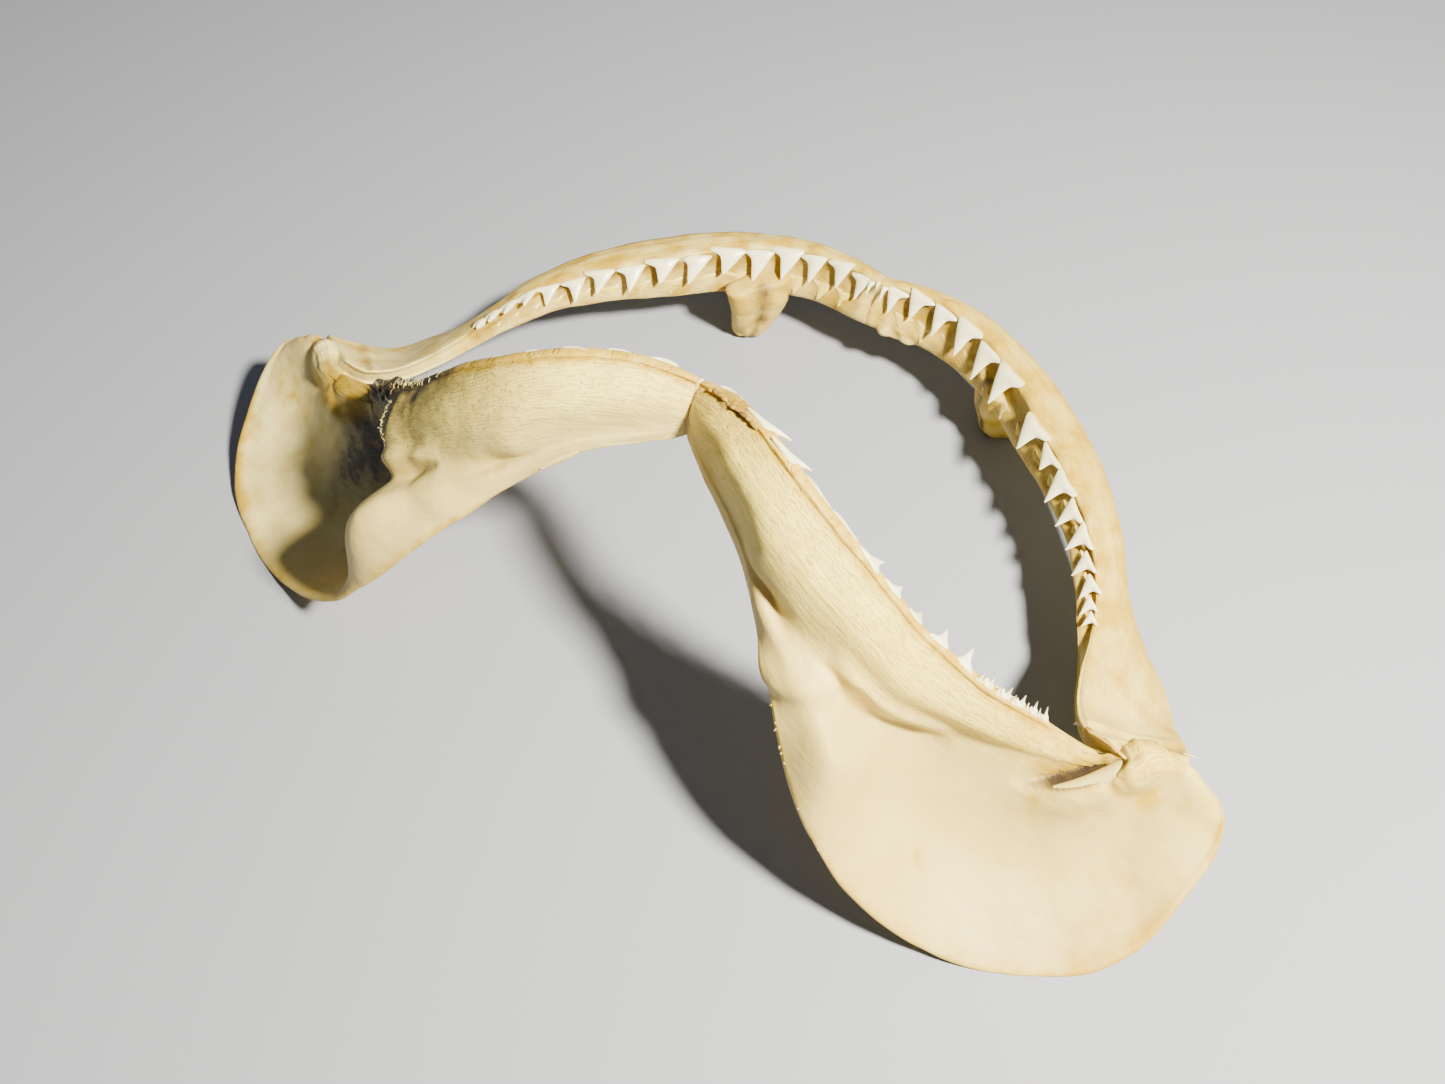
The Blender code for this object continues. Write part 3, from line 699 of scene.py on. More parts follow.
def upper_stains_and_shade(spot):
    """Amber, brown, grey, pale, gum line and grain, each from 0 to 1."""
    point, along, down, place, row, side = spot
    toothed = toothed_part(along)
    patch, fine = cloud(point, 6.0, 51.0), cloud(point, 2.2, 53.0)
    amber = brown = 0.0
    pale = 0.55 * between(place, 2.6, 5.4, 0.6)
    if place < 2.0:
        # gum round the crowns that stand back, the crease, the plate's edge and its fold
        amber = (0.30 + 0.45 * patch) * near(down - 2.6, 2.0) * toothed
        amber *= 0.5 + 0.5 * even_beat(along)
        crease = near(place - CREASE_PLACE, CREASE_WIDTH)
        amber += 0.55 * crease * between(row, *CREASE_ROWS, 1.0) * patch
        brown = 0.7 * fine * near(down - 0.4, 0.8) * between(row, *EDGE_ROWS, 0.3)
        amber += 0.9 * max(0.0, lumps(point, 9.0, 57.0)) * grows(row, 6.0, 2.0)
        pale = 0.4 * fine * near(down - 1.8, 1.0) * between(row, *EDGE_ROWS, 0.3)
        amber += 0.45 * patch * fades(place, 0.2, 1.6) * toothed
        amber += 0.5 * near(row - PLATE_FOLD_ROW - 0.1, 0.15) * patch
    if place > 5.8:
        # the inner wall, where the skin with the next teeth lay; its amber and brown are partly
        # that skin and partly painted shade under the crowns
        inside = grows(place, 5.8, 0.9)
        amber = 0.25 * inside * (0.5 + patch) * ramp(0.4, 1.0, toothed)
        amber += 0.5 * near(place - 8.4, 0.5) * toothed
        brown = (0.45 * near(place - 8.4, 0.6) + 0.22 * inside) * toothed * (0.3 + 0.7 * patch)
        # the pale on the beads is a painted highlight, where light catches them
        pale = 1.2 * front_beads(spot)
    amber += 0.35 * patch * near(down, 3.0) * (1.0 - toothed) + 0.65 * patch * fades(row, 8.0, 2.0)
    # painted shade: amber and grey along the outer edge of the top, where the face turns from the
    # lamp; greyer on the animal's right
    rim_shade = grows(place, 1.2, 0.5) * fades(place, 3.4, 0.8) * (0.5 + 0.5 * patch)
    amber += 0.65 * rim_shade + 0.35 * patch * fine
    grey = (0.5 if side < 0 else 0.12) * rim_shade * fades(row, 7.0, 1.5)
    return amber, brown, grey, pale + 0.4 * (side < 0), 0.0, 0.5


# %% Finished mesh from a loft
CRACK_ROWS, CRACK_REACH, CRACK_CUTS = (12.4, 17.0), 3.5, 3      # rows of the lower table, mm


def refine(surface):
    """Cuts the faces along the crack of the joint finer, because the relief is finest there."""
    row, down, place = layers_of(surface, "row", "down", "place")
    wanted = {v for v in surface.verts if v[place] > 0 and CRACK_ROWS[0] < v[row] < CRACK_ROWS[1]
              and abs(below_lip(v[row], v[down])) < CRACK_REACH}
    faces = (f for f in surface.faces if wanted.issuperset(f.verts))
    edges = {e for f in faces for e in f.edges}
    bmesh.ops.subdivide_edges(surface, edges=list(edges), cuts=CRACK_CUTS, use_grid_fill=True)
    surface.normal_update()


def dress(surface, relief, stains, side):
    """Moves every vertex by its relief and keeps its stains and painted shade."""
    layers = layers_of(surface)
    moves = []
    for vert in surface.verts:
        point = np.array(vert.co) / MM - SHIFT
        spot = Spot(point, *(vert[layer] for layer in layers[:4]), side)
        moves.append(vert.normal * relief(spot) * MM)
        for layer, value in zip(layers[4:], stains(spot)):
            vert[layer] = clamped(value)
    for vert, move in zip(surface.verts, moves):
        vert.co += move
        vert.co.x = side * max(HALF_GAP * MM, vert.co.x * side)
        vert.co.z = max(0.0, vert.co.z)


def add_piece(name, surface, material):
    """Turns a bmesh into a piece of the object, subdivided once."""
    close_off(surface)
    mesh = bpy.data.meshes.new(name)
    surface.to_mesh(mesh)
    surface.free()
    mesh.shade_smooth()
    piece = bpy.data.objects.new(name, mesh)
    bpy.context.scene.collection.objects.link(piece)
    mesh.materials.append(material)
    finer = piece.modifiers.new("finer", "SUBSURF")
    finer.levels = finer.render_levels = 1
    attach(piece, "root")
    print(name, len(mesh.polygons), "faces")
    return piece


# %% [markdown]
# ## Finishes
# Three finishes cover the jaws: dried cartilage, tooth enamel, which is cream where skin still
# covers a crown, and dried gum. Each reads the numbers kept on the vertices for what follows the
# surface, and noise on Object coordinates for what doesn't. Fibres are noise stretched along the
# jaw, so they turn with the bar.

# %% Helpers for node materials
GRAIN_BEND = 1.5        # mm by which fibres stray from their course


def new_material(name):
    """An empty node material with its tree and its shader."""
    material = bpy.data.materials.new(name)
    material.use_nodes = True
    return material, material.node_tree, material.node_tree.nodes["Principled BSDF"]


def object_place(tree):
    """The place on the piece, in metres."""
    return tree.nodes.new("ShaderNodeTexCoord").outputs["Object"]


def attribute(tree, name):
    """A number kept on the vertices."""
    node = tree.nodes.new("ShaderNodeAttribute")
    node.attribute_name = name
    return node.outputs["Fac"]


def calculate(tree, operation, *values, clamp=False):
    """A math node on sockets or numbers."""
    node = tree.nodes.new("ShaderNodeMath")
    node.operation = operation
    node.use_clamp = clamp
    for socket, value in zip(node.inputs, values):
        if isinstance(value, (int, float)):
            socket.default_value = value
        else:
            tree.links.new(value, socket)
    return node.outputs[0]


def times(tree, first, second):
    """One value times another."""
    return calculate(tree, "MULTIPLY", first, second)


def minus(tree, first, second):
    """One value less another."""
    return calculate(tree, "SUBTRACT", first, second)


def blend_colours(tree, share, first, second):
    """Mix of two colours or sockets by a share."""
    node = tree.nodes.new("ShaderNodeMix")
    node.data_type = "RGBA"
    sockets = [s for s in node.inputs if s.type == "RGBA"]
    for socket, value in zip(sockets, (first, second)):
        if isinstance(value, tuple):
            socket.default_value = (*value, 1.0)
        else:
            tree.links.new(value, socket)
    tree.links.new(share, node.inputs["Factor"])
    return next(s for s in node.outputs if s.type == "RGBA")


def layered(tree, colour, layers):
    """A colour with further colours laid over it, each by the share before it."""
    for share, over in layers:
        colour = blend_colours(tree, share, colour, over)
    return colour


def noise_on(tree, vector, scale, detail, roughness=0.55):
    """Noise from 0 to 1 on a vector socket."""
    node = tree.nodes.new("ShaderNodeTexNoise")
    node.inputs["Scale"].default_value = scale
    node.inputs["Detail"].default_value = detail
    node.inputs["Roughness"].default_value = roughness
    tree.links.new(vector, node.inputs["Vector"])
    return node.outputs["Fac"]


def sharpen(tree, value, low, high):
    """Stretches the part between low and high over 0 to 1."""
    node = tree.nodes.new("ShaderNodeMapRange")
    node.interpolation_type = "SMOOTHSTEP"
    node.inputs["From Min"].default_value = low
    node.inputs["From Max"].default_value = high
    tree.links.new(value, node.inputs["Value"])
    return node.outputs["Result"]


def along_grain(tree, warp, along_scale, down_scale, detail, roughness=0.55):
    """Noise stretched along the jaw and bent a little by another one, so that it becomes fibres."""
    node = tree.nodes.new("ShaderNodeCombineXYZ")
    bent = calculate(tree, "ADD", attribute(tree, "down"), times(tree, warp, GRAIN_BEND))
    axes = (times(tree, attribute(tree, "along"), along_scale), times(tree, bent, down_scale),
            times(tree, attribute(tree, "place"), 0.5))
    for socket, value in zip(node.inputs, axes):
        tree.links.new(value, socket)
    return noise_on(tree, node.outputs["Vector"], 1.0, detail, roughness)


def set_shader(tree, shader, colour, settings, height, distance, strength):
    """Gives the shader its colour, its other settings and a relief too fine for the mesh."""
    tree.links.new(colour, shader.inputs["Base Color"])
    for name, value in settings.items():
        shader.inputs[name].default_value = value
    node = tree.nodes.new("ShaderNodeBump")
    node.inputs["Distance"].default_value = distance
    node.inputs["Strength"].default_value = strength
    tree.links.new(height, node.inputs["Height"])
    tree.links.new(node.outputs["Normal"], shader.inputs["Normal"])


# %% Dried cartilage
IVORY, CREAM, TAN = (0.88, 0.71, 0.16), (0.74, 0.55, 0.12), (0.55, 0.37, 0.06)
AGED = (0.52, 0.40, 0.17)
AMBER, BROWN = (0.52, 0.325, 0.015), (0.065, 0.030, 0.008)
# SOOT_AND_SHADE is soot where torn and also painted shade in hollows, cracks and along edges
SOOT_AND_SHADE, CHALK = (0.030, 0.025, 0.019), (0.90, 0.81, 0.40)
# Noise on the place has a scale in 1/m and a detail. Noise along the grain has scales along and
# down in 1/mm, a detail and a roughness. A range is what is stretched over 0 to 1.
CLOUDS, MOTTLE, SPECKS = (38.0, 4.0), (260.0, 4.0), (900.0, 2.0)
STRAY, FIBRES, FOLDS = (0.14, 0.0, 3.0), (0.10, 1.1, 4.0, 0.65), (0.18, 1.1, 2.0, 0.5)
CREAM_RANGE, STREAK_RANGE = (0.38, 0.70), (0.48, 0.78)
DUST_RANGE, WRINKLE_RANGE = (0.70, 0.80), (0.035, 0.0)
AGED_SHARE, STREAK_SHARE, WRINKLE_SHARE, DUST_SHARE = 0.75, 0.22, 0.20, 0.30
LINE_SHARE, SECOND_LINE_SHARE = 0.65, 0.35
GUM_LINE_DOWN, SECOND_LINE_DOWN = 0.9, 1.8      # mm down from the crest
GUM_LINE_WIDTH, GUM_LINE_STRAY = 0.45, 0.9
CARTILAGE_SETTINGS = {"Specular IOR Level": 0.35, "Subsurface Weight": 0.15,
                      "Subsurface Radius": (1.0, 0.6, 0.3), "Subsurface Scale": 0.003}
CARTILAGE_BUMP = (0.0010, 0.8)                  # distance in m, strength


def broken(tree, stain, texture, depth):
    """A stain's mask, broken up by noise so that its edge is uneven."""
    mask = attribute(tree, stain)
    shift = times(tree, minus(tree, texture, 0.5), depth)
    return calculate(tree, "ADD", mask, times(tree, shift, mask), clamp=True)


def gum_line(tree, stray, down_of_line, width):
    """A thin line along the jaw where the skin ended, 1 on the line."""
    shift = times(tree, minus(tree, stray, 0.5), GUM_LINE_STRAY)
    off = minus(tree, calculate(tree, "ADD", attribute(tree, "down"), shift), down_of_line)
    line = sharpen(tree, calculate(tree, "ABSOLUTE", off), width, 0.2 * width)
    return times(tree, line, attribute(tree, "gum"))


def cartilage_finish():
    """Ivory with fibres and wrinkles, amber and brown stains, soot where torn, chalky edges; some
    of the amber, brown and soot is painted shade.
    """
    material, tree, shader = new_material("dried_cartilage")
    place = object_place(tree)
    grain = attribute(tree, "grain")
    clouds, mottle, specks = (noise_on(tree, place, *kind) for kind in (CLOUDS, MOTTLE, SPECKS))
    stray = along_grain(tree, mottle, *STRAY)
    fibres = along_grain(tree, clouds, *FIBRES)
    fold_way = calculate(tree, "ABSOLUTE", minus(tree, along_grain(tree, mottle, *FOLDS), 0.5))
    wrinkle = times(tree, sharpen(tree, fold_way, *WRINKLE_RANGE), grain)
    line = gum_line(tree, stray, GUM_LINE_DOWN, GUM_LINE_WIDTH)
    second_line = gum_line(tree, mottle, SECOND_LINE_DOWN, 0.6 * GUM_LINE_WIDTH)
    streak = times(tree, sharpen(tree, fibres, *STREAK_RANGE), times(tree, grain, STREAK_SHARE))
    ground = blend_colours(tree, sharpen(tree, clouds, *CREAM_RANGE), IVORY, CREAM)
    colour = layered(tree, ground, (
        (times(tree, minus(tree, 1.0, grain), AGED_SHARE), AGED),
        (streak, TAN),
        (times(tree, wrinkle, WRINKLE_SHARE), TAN),
        (broken(tree, "pale", mottle, 1.2), CHALK),
        (times(tree, second_line, SECOND_LINE_SHARE), AMBER),
        (times(tree, line, LINE_SHARE), AMBER),
        (broken(tree, "amber", mottle, 1.4), AMBER),
        (broken(tree, "brown", mottle, 1.6), BROWN),
        (broken(tree, "grey", mottle, 1.0), SOOT_AND_SHADE),
        (times(tree, sharpen(tree, specks, *DUST_RANGE), DUST_SHARE), TAN),
    ))
    rough = calculate(tree, "MULTIPLY_ADD", mottle, 0.20, 0.40)
    tree.links.new(rough, shader.inputs["Roughness"])
    depth = calculate(tree, "ADD", times(tree, grain, 0.5), 0.06)
    height = calculate(tree, "ADD", times(tree, fibres, depth), times(tree, mottle, 0.30))
    height = minus(tree, height, times(tree, wrinkle, 0.22))
    height = minus(tree, height, times(tree, line, 0.25))
    set_shader(tree, shader, colour, CARTILAGE_SETTINGS, height, *CARTILAGE_BUMP)
    return material


# %% Enamel
ENAMEL, ENAMEL_SHADE, ROOT = (0.90, 0.85, 0.60), (0.78, 0.71, 0.44), (0.74, 0.55, 0.17)
ENAMEL_CLOUDS, ENAMEL_GRAIN = (160.0, 3.0), (1400.0, 2.0)      # scale in 1/m, detail
ENAMEL_SETTINGS = {"Roughness": 0.26, "Subsurface Weight": 0.15,
                   "Subsurface Radius": (1.0, 0.8, 0.6), "Subsurface Scale": 0.0015}
ENAMEL_BUMP = (0.00015, 0.35)


def enamel_finish(name, crown_colour, shade):
    """Crown with faint clouds, passing to a cream root."""
    material, tree, shader = new_material(name)
    place = object_place(tree)
    clouds, fine = (noise_on(tree, place, *kind) for kind in (ENAMEL_CLOUDS, ENAMEL_GRAIN))
    rise = calculate(tree, "ADD", attribute(tree, "rise"), times(tree, clouds, 0.22))
    crown = blend_colours(tree, sharpen(tree, clouds, 0.40, 0.75), crown_colour, shade)
    colour = blend_colours(tree, sharpen(tree, rise, 0.20, -0.04), crown, ROOT)
    set_shader(tree, shader, colour, ENAMEL_SETTINGS, fine, *ENAMEL_BUMP)
    return material


# %% Dried gum
GUM_AMBER, GUM_DARK, GUM_PALE = (0.52, 0.30, 0.04), (0.22, 0.10, 0.015), (0.84, 0.70, 0.28)
GUM_CLOUDS = (300.0, 4.0)
GUM_SETTINGS = {"Roughness": 0.38, "Subsurface Weight": 0.10,
                "Subsurface Radius": (1.0, 0.5, 0.2), "Subsurface Scale": 0.002}
GUM_BUMP = (0.0004, 0.5)


def gum_finish():
    """Shiny amber tissue, darker in patches; `pale` and `grey` on a vertex turn it so."""
    material, tree, shader = new_material("dried_gum")
    clouds = noise_on(tree, object_place(tree), *GUM_CLOUDS)
    tissue = blend_colours(tree, sharpen(tree, clouds, 0.40, 0.70), GUM_AMBER, GUM_DARK)
    colour = layered(tree, tissue, ((attribute(tree, "pale"), GUM_PALE),
                                    (attribute(tree, "grey"), SOOT_AND_SHADE)))
    set_shader(tree, shader, colour, GUM_SETTINGS, clouds, *GUM_BUMP)
    return material


cartilage = cartilage_finish()
enamel = enamel_finish("tooth_enamel", ENAMEL, ENAMEL_SHADE)
covered_tooth = enamel_finish("tooth_under_skin", CREAM, TAN)
gum_skin = gum_finish()
print("finishes", *(m.name for m in (cartilage, enamel, covered_tooth, gum_skin)))

# %% [markdown]
# ## The four cartilages
# Each half is drawn as an extruded surface, given its relief, its stains and painted shade, and
# subdivided once. On the left lower half, the faces along the joint's crack are cut finer before
# that. The flat end of an upper half is inset, so that subdividing doesn't round the edge where
# left and right meet.

# %% Four cartilages
SIDES = ((1, "left"), (-1, "right"))
LOWER_RINGS, UPPER_RINGS = 10, 14      # to one row of the table
UPPER_END_ROW = 0.03                   # a ring close to the end keeps the end's edge sharp,
END_INSET = 0.4                        # and so does an inset of its flat face, mm
END_REACH = HALF_GAP + 0.05            # mm from the middle, where only that flat face is
for side, word in SIDES:
    surface = loft(lower_section, LOWER_LAST, LOWER_RINGS, LOWER[0], side)
    if side > 0:
        refine(surface)
    dress(surface, lower_relief, lower_stains_and_shade, side)
    piece = add_piece("lower_" + word, surface, cartilage)
    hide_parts("lower_jaw_" + word)
    surface = loft(upper_section, UPPER_LAST, UPPER_RINGS, UPPER[0], side, UPPER_END_ROW)
    flat_end = [f for f in surface.faces if max(abs(v.co.x) for v in f.verts) < END_REACH * MM]
    bmesh.ops.inset_individual(surface, faces=flat_end, thickness=END_INSET * MM)
    dress(surface, upper_relief, upper_stains_and_shade, side)
    piece = add_piece("upper_" + word, surface, cartilage)
    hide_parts("upper_jaw_" + word)

# %% [markdown]
# ## Teeth
# A crown starts as a cube, cut into a fine block, and the block is then shaped: its width follows
# the two cutting edges, its thickness thins towards them, and the tip leans back to the hinge. The
# base of a crown is two wings that lie over the gum, so the block is also bent over the gum's edge.
# One block serves for every crown, because only the numbers change from tooth to tooth.

# %% A block to cut teeth from
FULL_BLOCK = ((0, 13), (2, 15), (1, 3))   # axis and number of cuts
SMALL_BLOCK = ((0, 7), (2, 7), (1, 1))
NO_LENGTH = 1e-6
WING_ARCH = 0.45                          # reach of the base's middle, as a share of the wings
WING_ROUND = 0.75                         # how much the wing's corner is rounded off
SEAT_RADIUS = 1.2                         # mm, the curve by which a crown turns over the gum's edge


def tooth_block(name, all_cuts):
    """A cube of 2 x 2 x 2 cut into slices along all three axes, as a mesh."""
    block = bmesh.new()
    bmesh.ops.create_cube(block, size=2.0)
    for axis, cuts in all_cuts:
        edges = [e for e in block.edges
                 if abs(e.verts[0].co[axis] - e.verts[1].co[axis]) > NO_LENGTH]
        bmesh.ops.subdivide_edges(block, edges=edges, cuts=cuts, use_grid_fill=True)
    mesh = bpy.data.meshes.new(name)
    block.to_mesh(mesh)
    block.free()
    return mesh


full_block = tooth_block("full_block", FULL_BLOCK)
small_block = tooth_block("small_block", SMALL_BLOCK)
print("tooth blocks", len(full_block.polygons), "and", len(small_block.polygons), "faces")

# Cutting edges as (height, front edge, back edge), in shares of the crown's height and width.
UPPER_EDGES = (
    (-0.30, -0.50, 0.50), (-0.05, -0.46, 0.50), (0.10, -0.39, 0.48), (0.19, -0.35, 0.30),
    (0.27, -0.32, 0.20), (0.45, -0.25, 0.145), (0.80, -0.10, 0.075), (1.0, -0.015, 0.015))
LOWER_EDGES = (
    (-0.30, -0.50, 0.50), (-0.05, -0.50, 0.50), (0.12, -0.44, 0.44), (0.26, -0.24, 0.24),
    (0.42, -0.16, 0.15), (0.62, -0.10, 0.095), (0.85, -0.05, 0.045), (1.0, -0.012, 0.012))

Crown = namedtuple("Crown", "size lean wings thick swell", defaults=(0.1, 1.0, 2.0, 0.0))


def bend(height, radius):
    """A height along a crown, split into the parts past the gum's edge and before it."""
    root = math.hypot(height, radius)
    return (root + height) / 2, (root - height) / 2


def mirrored(vector, side):
    """The vector on the animal's left (1) or right (-1) side."""
    return np.array((vector[0] * side, vector[1], vector[2]))


def crown_thickness(u, v, low):
    """Share of the full thickness: thin at the cutting edges, at the tip and under the wings."""
    foot = ramp(0.35, 1.0, (v - low) / 0.10)
    return (1.0 - 0.85 * abs(u) ** 2.4) * ramp(1.0, 0.28, max(0.0, v)) * foot


def add_crown(surface, block, edges, seat, crown, side):
    """Adds one crown to a bmesh.

    The seat is its root, the run of the gum, the direction of the tip, the direction in which the
    wings lie over the gum, and the direction out of the gum.
    """
    root, along, up, over, out = (mirrored(vector, side) for vector in seat)
    width, height = crown.size
    face = unit(np.cross(along, up))
    if face @ out < 0:
        face = -face
    run = unit(along - up * (along @ up))
    start = len(surface.verts)
    surface.from_mesh(block)
    surface.verts.ensure_lookup_table()
    rise = surface.verts.layers.float["rise"]
    heights, fronts, backs = (np.array(column) for column in zip(*edges))
    for vert in surface.verts[start:]:
        u, depth, level = vert.co
        spread = abs(u) ** 1.6 * (1.0 - WING_ROUND * abs(u) ** 8)
        low = -crown.wings * (WING_ARCH + (1 - WING_ARCH) * spread) / height
        v = low + (1.0 - low) * (level + 1.0) / 2.0
        front, back = np.interp(v, heights, fronts), np.interp(v, heights, backs)
        x = (front + (back - front) * (u + 1.0) / 2.0 + crown.lean * max(0.0, v) ** 1.3) * width
        past, before = bend(v * height, SEAT_RADIUS)
        turn = past / (past + before)
        normal = unit(out * (1 - turn) + face * turn)
        y = crown.thick * crown_thickness(u, v, low) * depth * (0.35 if depth > 0 else 0.65)
        y += crown.swell * (0.5 + 0.5 * u) ** 1.2 * (1.0 - u ** 6) * ramp(1, 0, v)
        point = root + run * x + up * past + over * before + normal * y
        vert.co = Vector((point + SHIFT) * MM)
        vert[rise] = v


def new_teeth():
    """An empty bmesh with the layer that the enamel reads."""
    surface = bmesh.new()
    surface.verts.layers.float.new("rise")
    return surface


# %% Upper teeth
LEFT_LOST, LEFT_BROKEN, RIGHT_PRESSED = 6, 8, 12
UPPER_LONGEST = 10.3
LEFT_CROWDING, RIGHT_CROWDING = 1.6, 3.2     # mm by which crowns moved towards the middle
LEFT_LEANING = 1.2                           # mm by which the back left crowns stand further in
SHORTER_FROM = {1: 7, -1: 5}                 # from these crowns on, the back ones are shorter
UPPER_THICK = 2.4                            # mm
FORWARD_CROWN = (0.45, 1.14, 2.4)            # mm off the gum, share of its width, mm of wings
SET_BACK_CROWN = (-0.2, 1.04, 1.8)
UPRIGHT = np.array((0.0, 0.0, 1.0))
dice = random.Random(7)


def upper_teeth(side):
    """All upper crowns of one side as one bmesh: odd ones stand forward, even ones set back."""
    surface = new_teeth()
    for i, width in enumerate(upper_widths):
        jitter = [dice.uniform(-1.0, 1.0) for _ in range(5)]
        if side > 0 and i == LEFT_LOST:
            continue
        crowding = RIGHT_CROWDING * grows(i, 2, 3) if side < 0 else LEFT_CROWDING * grows(i, 5, 1)
        row = row_at(UPPER[0], (upper_ends[i] + upper_ends[i + 1]) / 2 - crowding)
        gum, along, out, inward = upper_frame(row)
        share = i / (UPPER_TEETH - 1)
        level = unit(np.array((inward[0], inward[1], 0.0)))
        fall = ramp(0.75, 0.45, share) + 0.06 * jitter[0]
        up = level * ramp(0.62, 0.85, share) - UPRIGHT * fall + along * 0.06 * jitter[1]
        size = width / max(upper_widths)
        height = UPPER_LONGEST * size ** 0.8 * (1.0 + 0.05 * jitter[2])
        if i >= SHORTER_FROM[side]:
            height *= 0.84 if i % 2 == 0 or side > 0 else 0.74
        if side > 0 and i == LEFT_BROKEN:
            height *= 0.60
        lean = ramp(0.07, 0.25, share) + 0.04 * jitter[3]
        forward = i % 2 == 1
        lift, wider, longest_wings = FORWARD_CROWN if forward else SET_BACK_CROWN
        root = gum + out * lift + inward * LEFT_LEANING * grows(i, 5, 1) * (side > 0)
        wings = longest_wings * width / max(upper_widths) + 0.25 * jitter[4]
        wings *= ramp(1.0, 0.4, (i - 7) / 4)
        crown = Crown((width * wider, height), lean, wings, UPPER_THICK)
        if side < 0 and i >= RIGHT_PRESSED:
            up, root = inward - out * 0.25, gum + out * 0.3
            crown = crown._replace(size=(crown.size[0] * 1.1, height * 0.7), wings=2.6)
        seat = (root, along, unit(up), -inward, out)
        add_crown(surface, full_block, UPPER_EDGES, seat, crown, side)
    return surface


# %% Small crowns in the middle of the upper jaw
# place across the middle, width, height and lift, mm
MIDDLE_TEETH = ((-2.5, 2.6, 5.0, 0.1), (-0.3, 1.8, 2.6, 0.6), (2.0, 2.4, 5.2, 0.1))


def upper_middle_teeth():
    """Three small crowns between the two rows."""
    surface = new_teeth()
    gum, _, out, inward = upper_frame(0.05)
    up = unit(inward * 0.6 - UPRIGHT * 0.7)
    for across, width, height, lift in MIDDLE_TEETH:
        root = np.array((across, gum[1], gum[2])) + out * lift
        seat = (root, np.array((1.0, 0.0, 0.0)), up, -inward, out)
        crown = Crown((width, height), 0.05, 0.9, 1.6)
        add_crown(surface, small_block, UPPER_EDGES, seat, crown, 1)
    return surface


# %% Lower teeth
SPIKES_FROM = 10          # from this crown on the lower teeth are thin and stand up
LOWER_LONGEST = 6.2
SPIKE_SEATS = ((-0.25, 0.2), (0.25, 1.4))      # share of the width along, mm behind the crest
LEFT_RISES = (-0.15, 0.16, 0.12, -0.15, -0.10, 0.20, 0.25, 0.18, 0.28, 0.30)    # of the tips
RIGHT_RISE = -0.10
RIGHT_TORN_FROM = 8.2     # row of the lower table behind which the right crowns went with the gum
FRONT_TEETH = 3           # so many are shorter


def lower_frame(row):
    """Crest point, direction of the run, direction out of the face, and down the face."""
    crest, edge = spline(LOWER[0], row), spline(LOWER[1], row)
    along = run_direction(LOWER[0] + LOWER[2], row)
    return crest, along, unit(np.cross(edge - crest, along)), unit(edge - crest)


def lower_teeth(side):
    """All lower crowns of one side as one bmesh: flat over the crest, thin spikes behind."""
    surface = new_teeth()
    for i, width in enumerate(lower_widths):
        jitter = [dice.uniform(-1.0, 1.0) for _ in range(4)]
        row = row_at(LOWER[0], (lower_ends[i] + lower_ends[i + 1]) / 2)
        if side < 0 and row > RIGHT_TORN_FROM:
            continue
        crest, along, out, down = lower_frame(row)
        share = lower_shares[i]
        rise = RIGHT_RISE + 0.06 * jitter[0]
        if side > 0:
            rise = LEFT_RISES[min(i, len(LEFT_RISES) - 1)]
        up = unit(-out * ramp(1.0, 0.55, share) - down * rise + along * 0.08 * jitter[1])
        height = LOWER_LONGEST * (width / max(lower_widths)) ** 0.4 * (1.0 + 0.12 * jitter[2])
        if i >= SPIKES_FROM:
            height *= 0.4
        if i < FRONT_TEETH:
            height *= 0.75
        lean = ramp(0.60 if side > 0 else 0.35, 0.15, share * 2) + 0.05 * jitter[3]
        root = crest - out * 1.0 + down * ramp(-0.5, 0.1, share)
        crown = Crown((1.04 * width, height), lean, 1.1, 2.6, 0.7 if side > 0 else 1.0)
        add_crown(surface, full_block, LOWER_EDGES, (root, along, up, down, out), crown, side)
        if i >= SPIKES_FROM:
            for shift, set_back in SPIKE_SEATS:
                foot = crest + along * shift * width - out * set_back - down * 0.2
                spike = Crown((0.42 * width, 3.0 + 0.4 * jitter[2]), 0.1, 0.4, 1.2)
                seat = (foot, along, unit(-down - out * 0.25), down, out)
                add_crown(surface, small_block, LOWER_EDGES, seat, spike, side)
    return surface


# %% The next teeth, lying behind
def upper_spares(side):
    """One row of folded-down crowns under the upper gum, between the standing ones."""
    surface = new_teeth()
    for i in range(1, UPPER_TEETH - 1):
        row = row_at(UPPER[0], upper_ends[i])
        gum, along, out, inward = upper_frame(row)
        high = spline(UPPER[2], row)
        root = gum - out * high * 0.55 + inward * 0.3
        up = unit(-out * 0.9 + inward * 0.35)
        size = (0.8 * upper_widths[i], min(0.6 * upper_widths[i], 0.35 * high))
        crown = Crown(size, 0.1, 0.8, 1.6)
        add_crown(surface, small_block, UPPER_EDGES, (root, along, up, -up, inward), crown, side)
    return surface


# mm behind the crest, share of the bar's thickness behind it, mm below it, height
SPARE_ROWS = ((1.0, 0.3, 1.5, 5.0), (1.0, 0.75, 5.0, 5.0))


def lower_spares(side):
    """Two rows of crowns that point down the back of the lower bar."""
    surface = new_teeth()
    for i in range(1, LOWER_TEETH - 2):
        row = row_at(LOWER[0], lower_ends[i])
        if side < 0 and row > RIGHT_TORN_FROM:
            continue
        crest, along, out, down = lower_frame(row)
        bar = spline(LOWER[5], row)
        for behind, share, below, height in SPARE_ROWS:
            root = crest - out * (behind + share * bar) + down * below
            up = unit(down * 0.9 - out * 0.3)
            size = (0.9 * lower_widths[i], height * lower_widths[i] / max(lower_widths))
            crown = Crown(size, 0.1, 0.6, 1.6)
            seat = (root, along, up, -down, -out)
            add_crown(surface, small_block, LOWER_EDGES, seat, crown, side)
    return surface


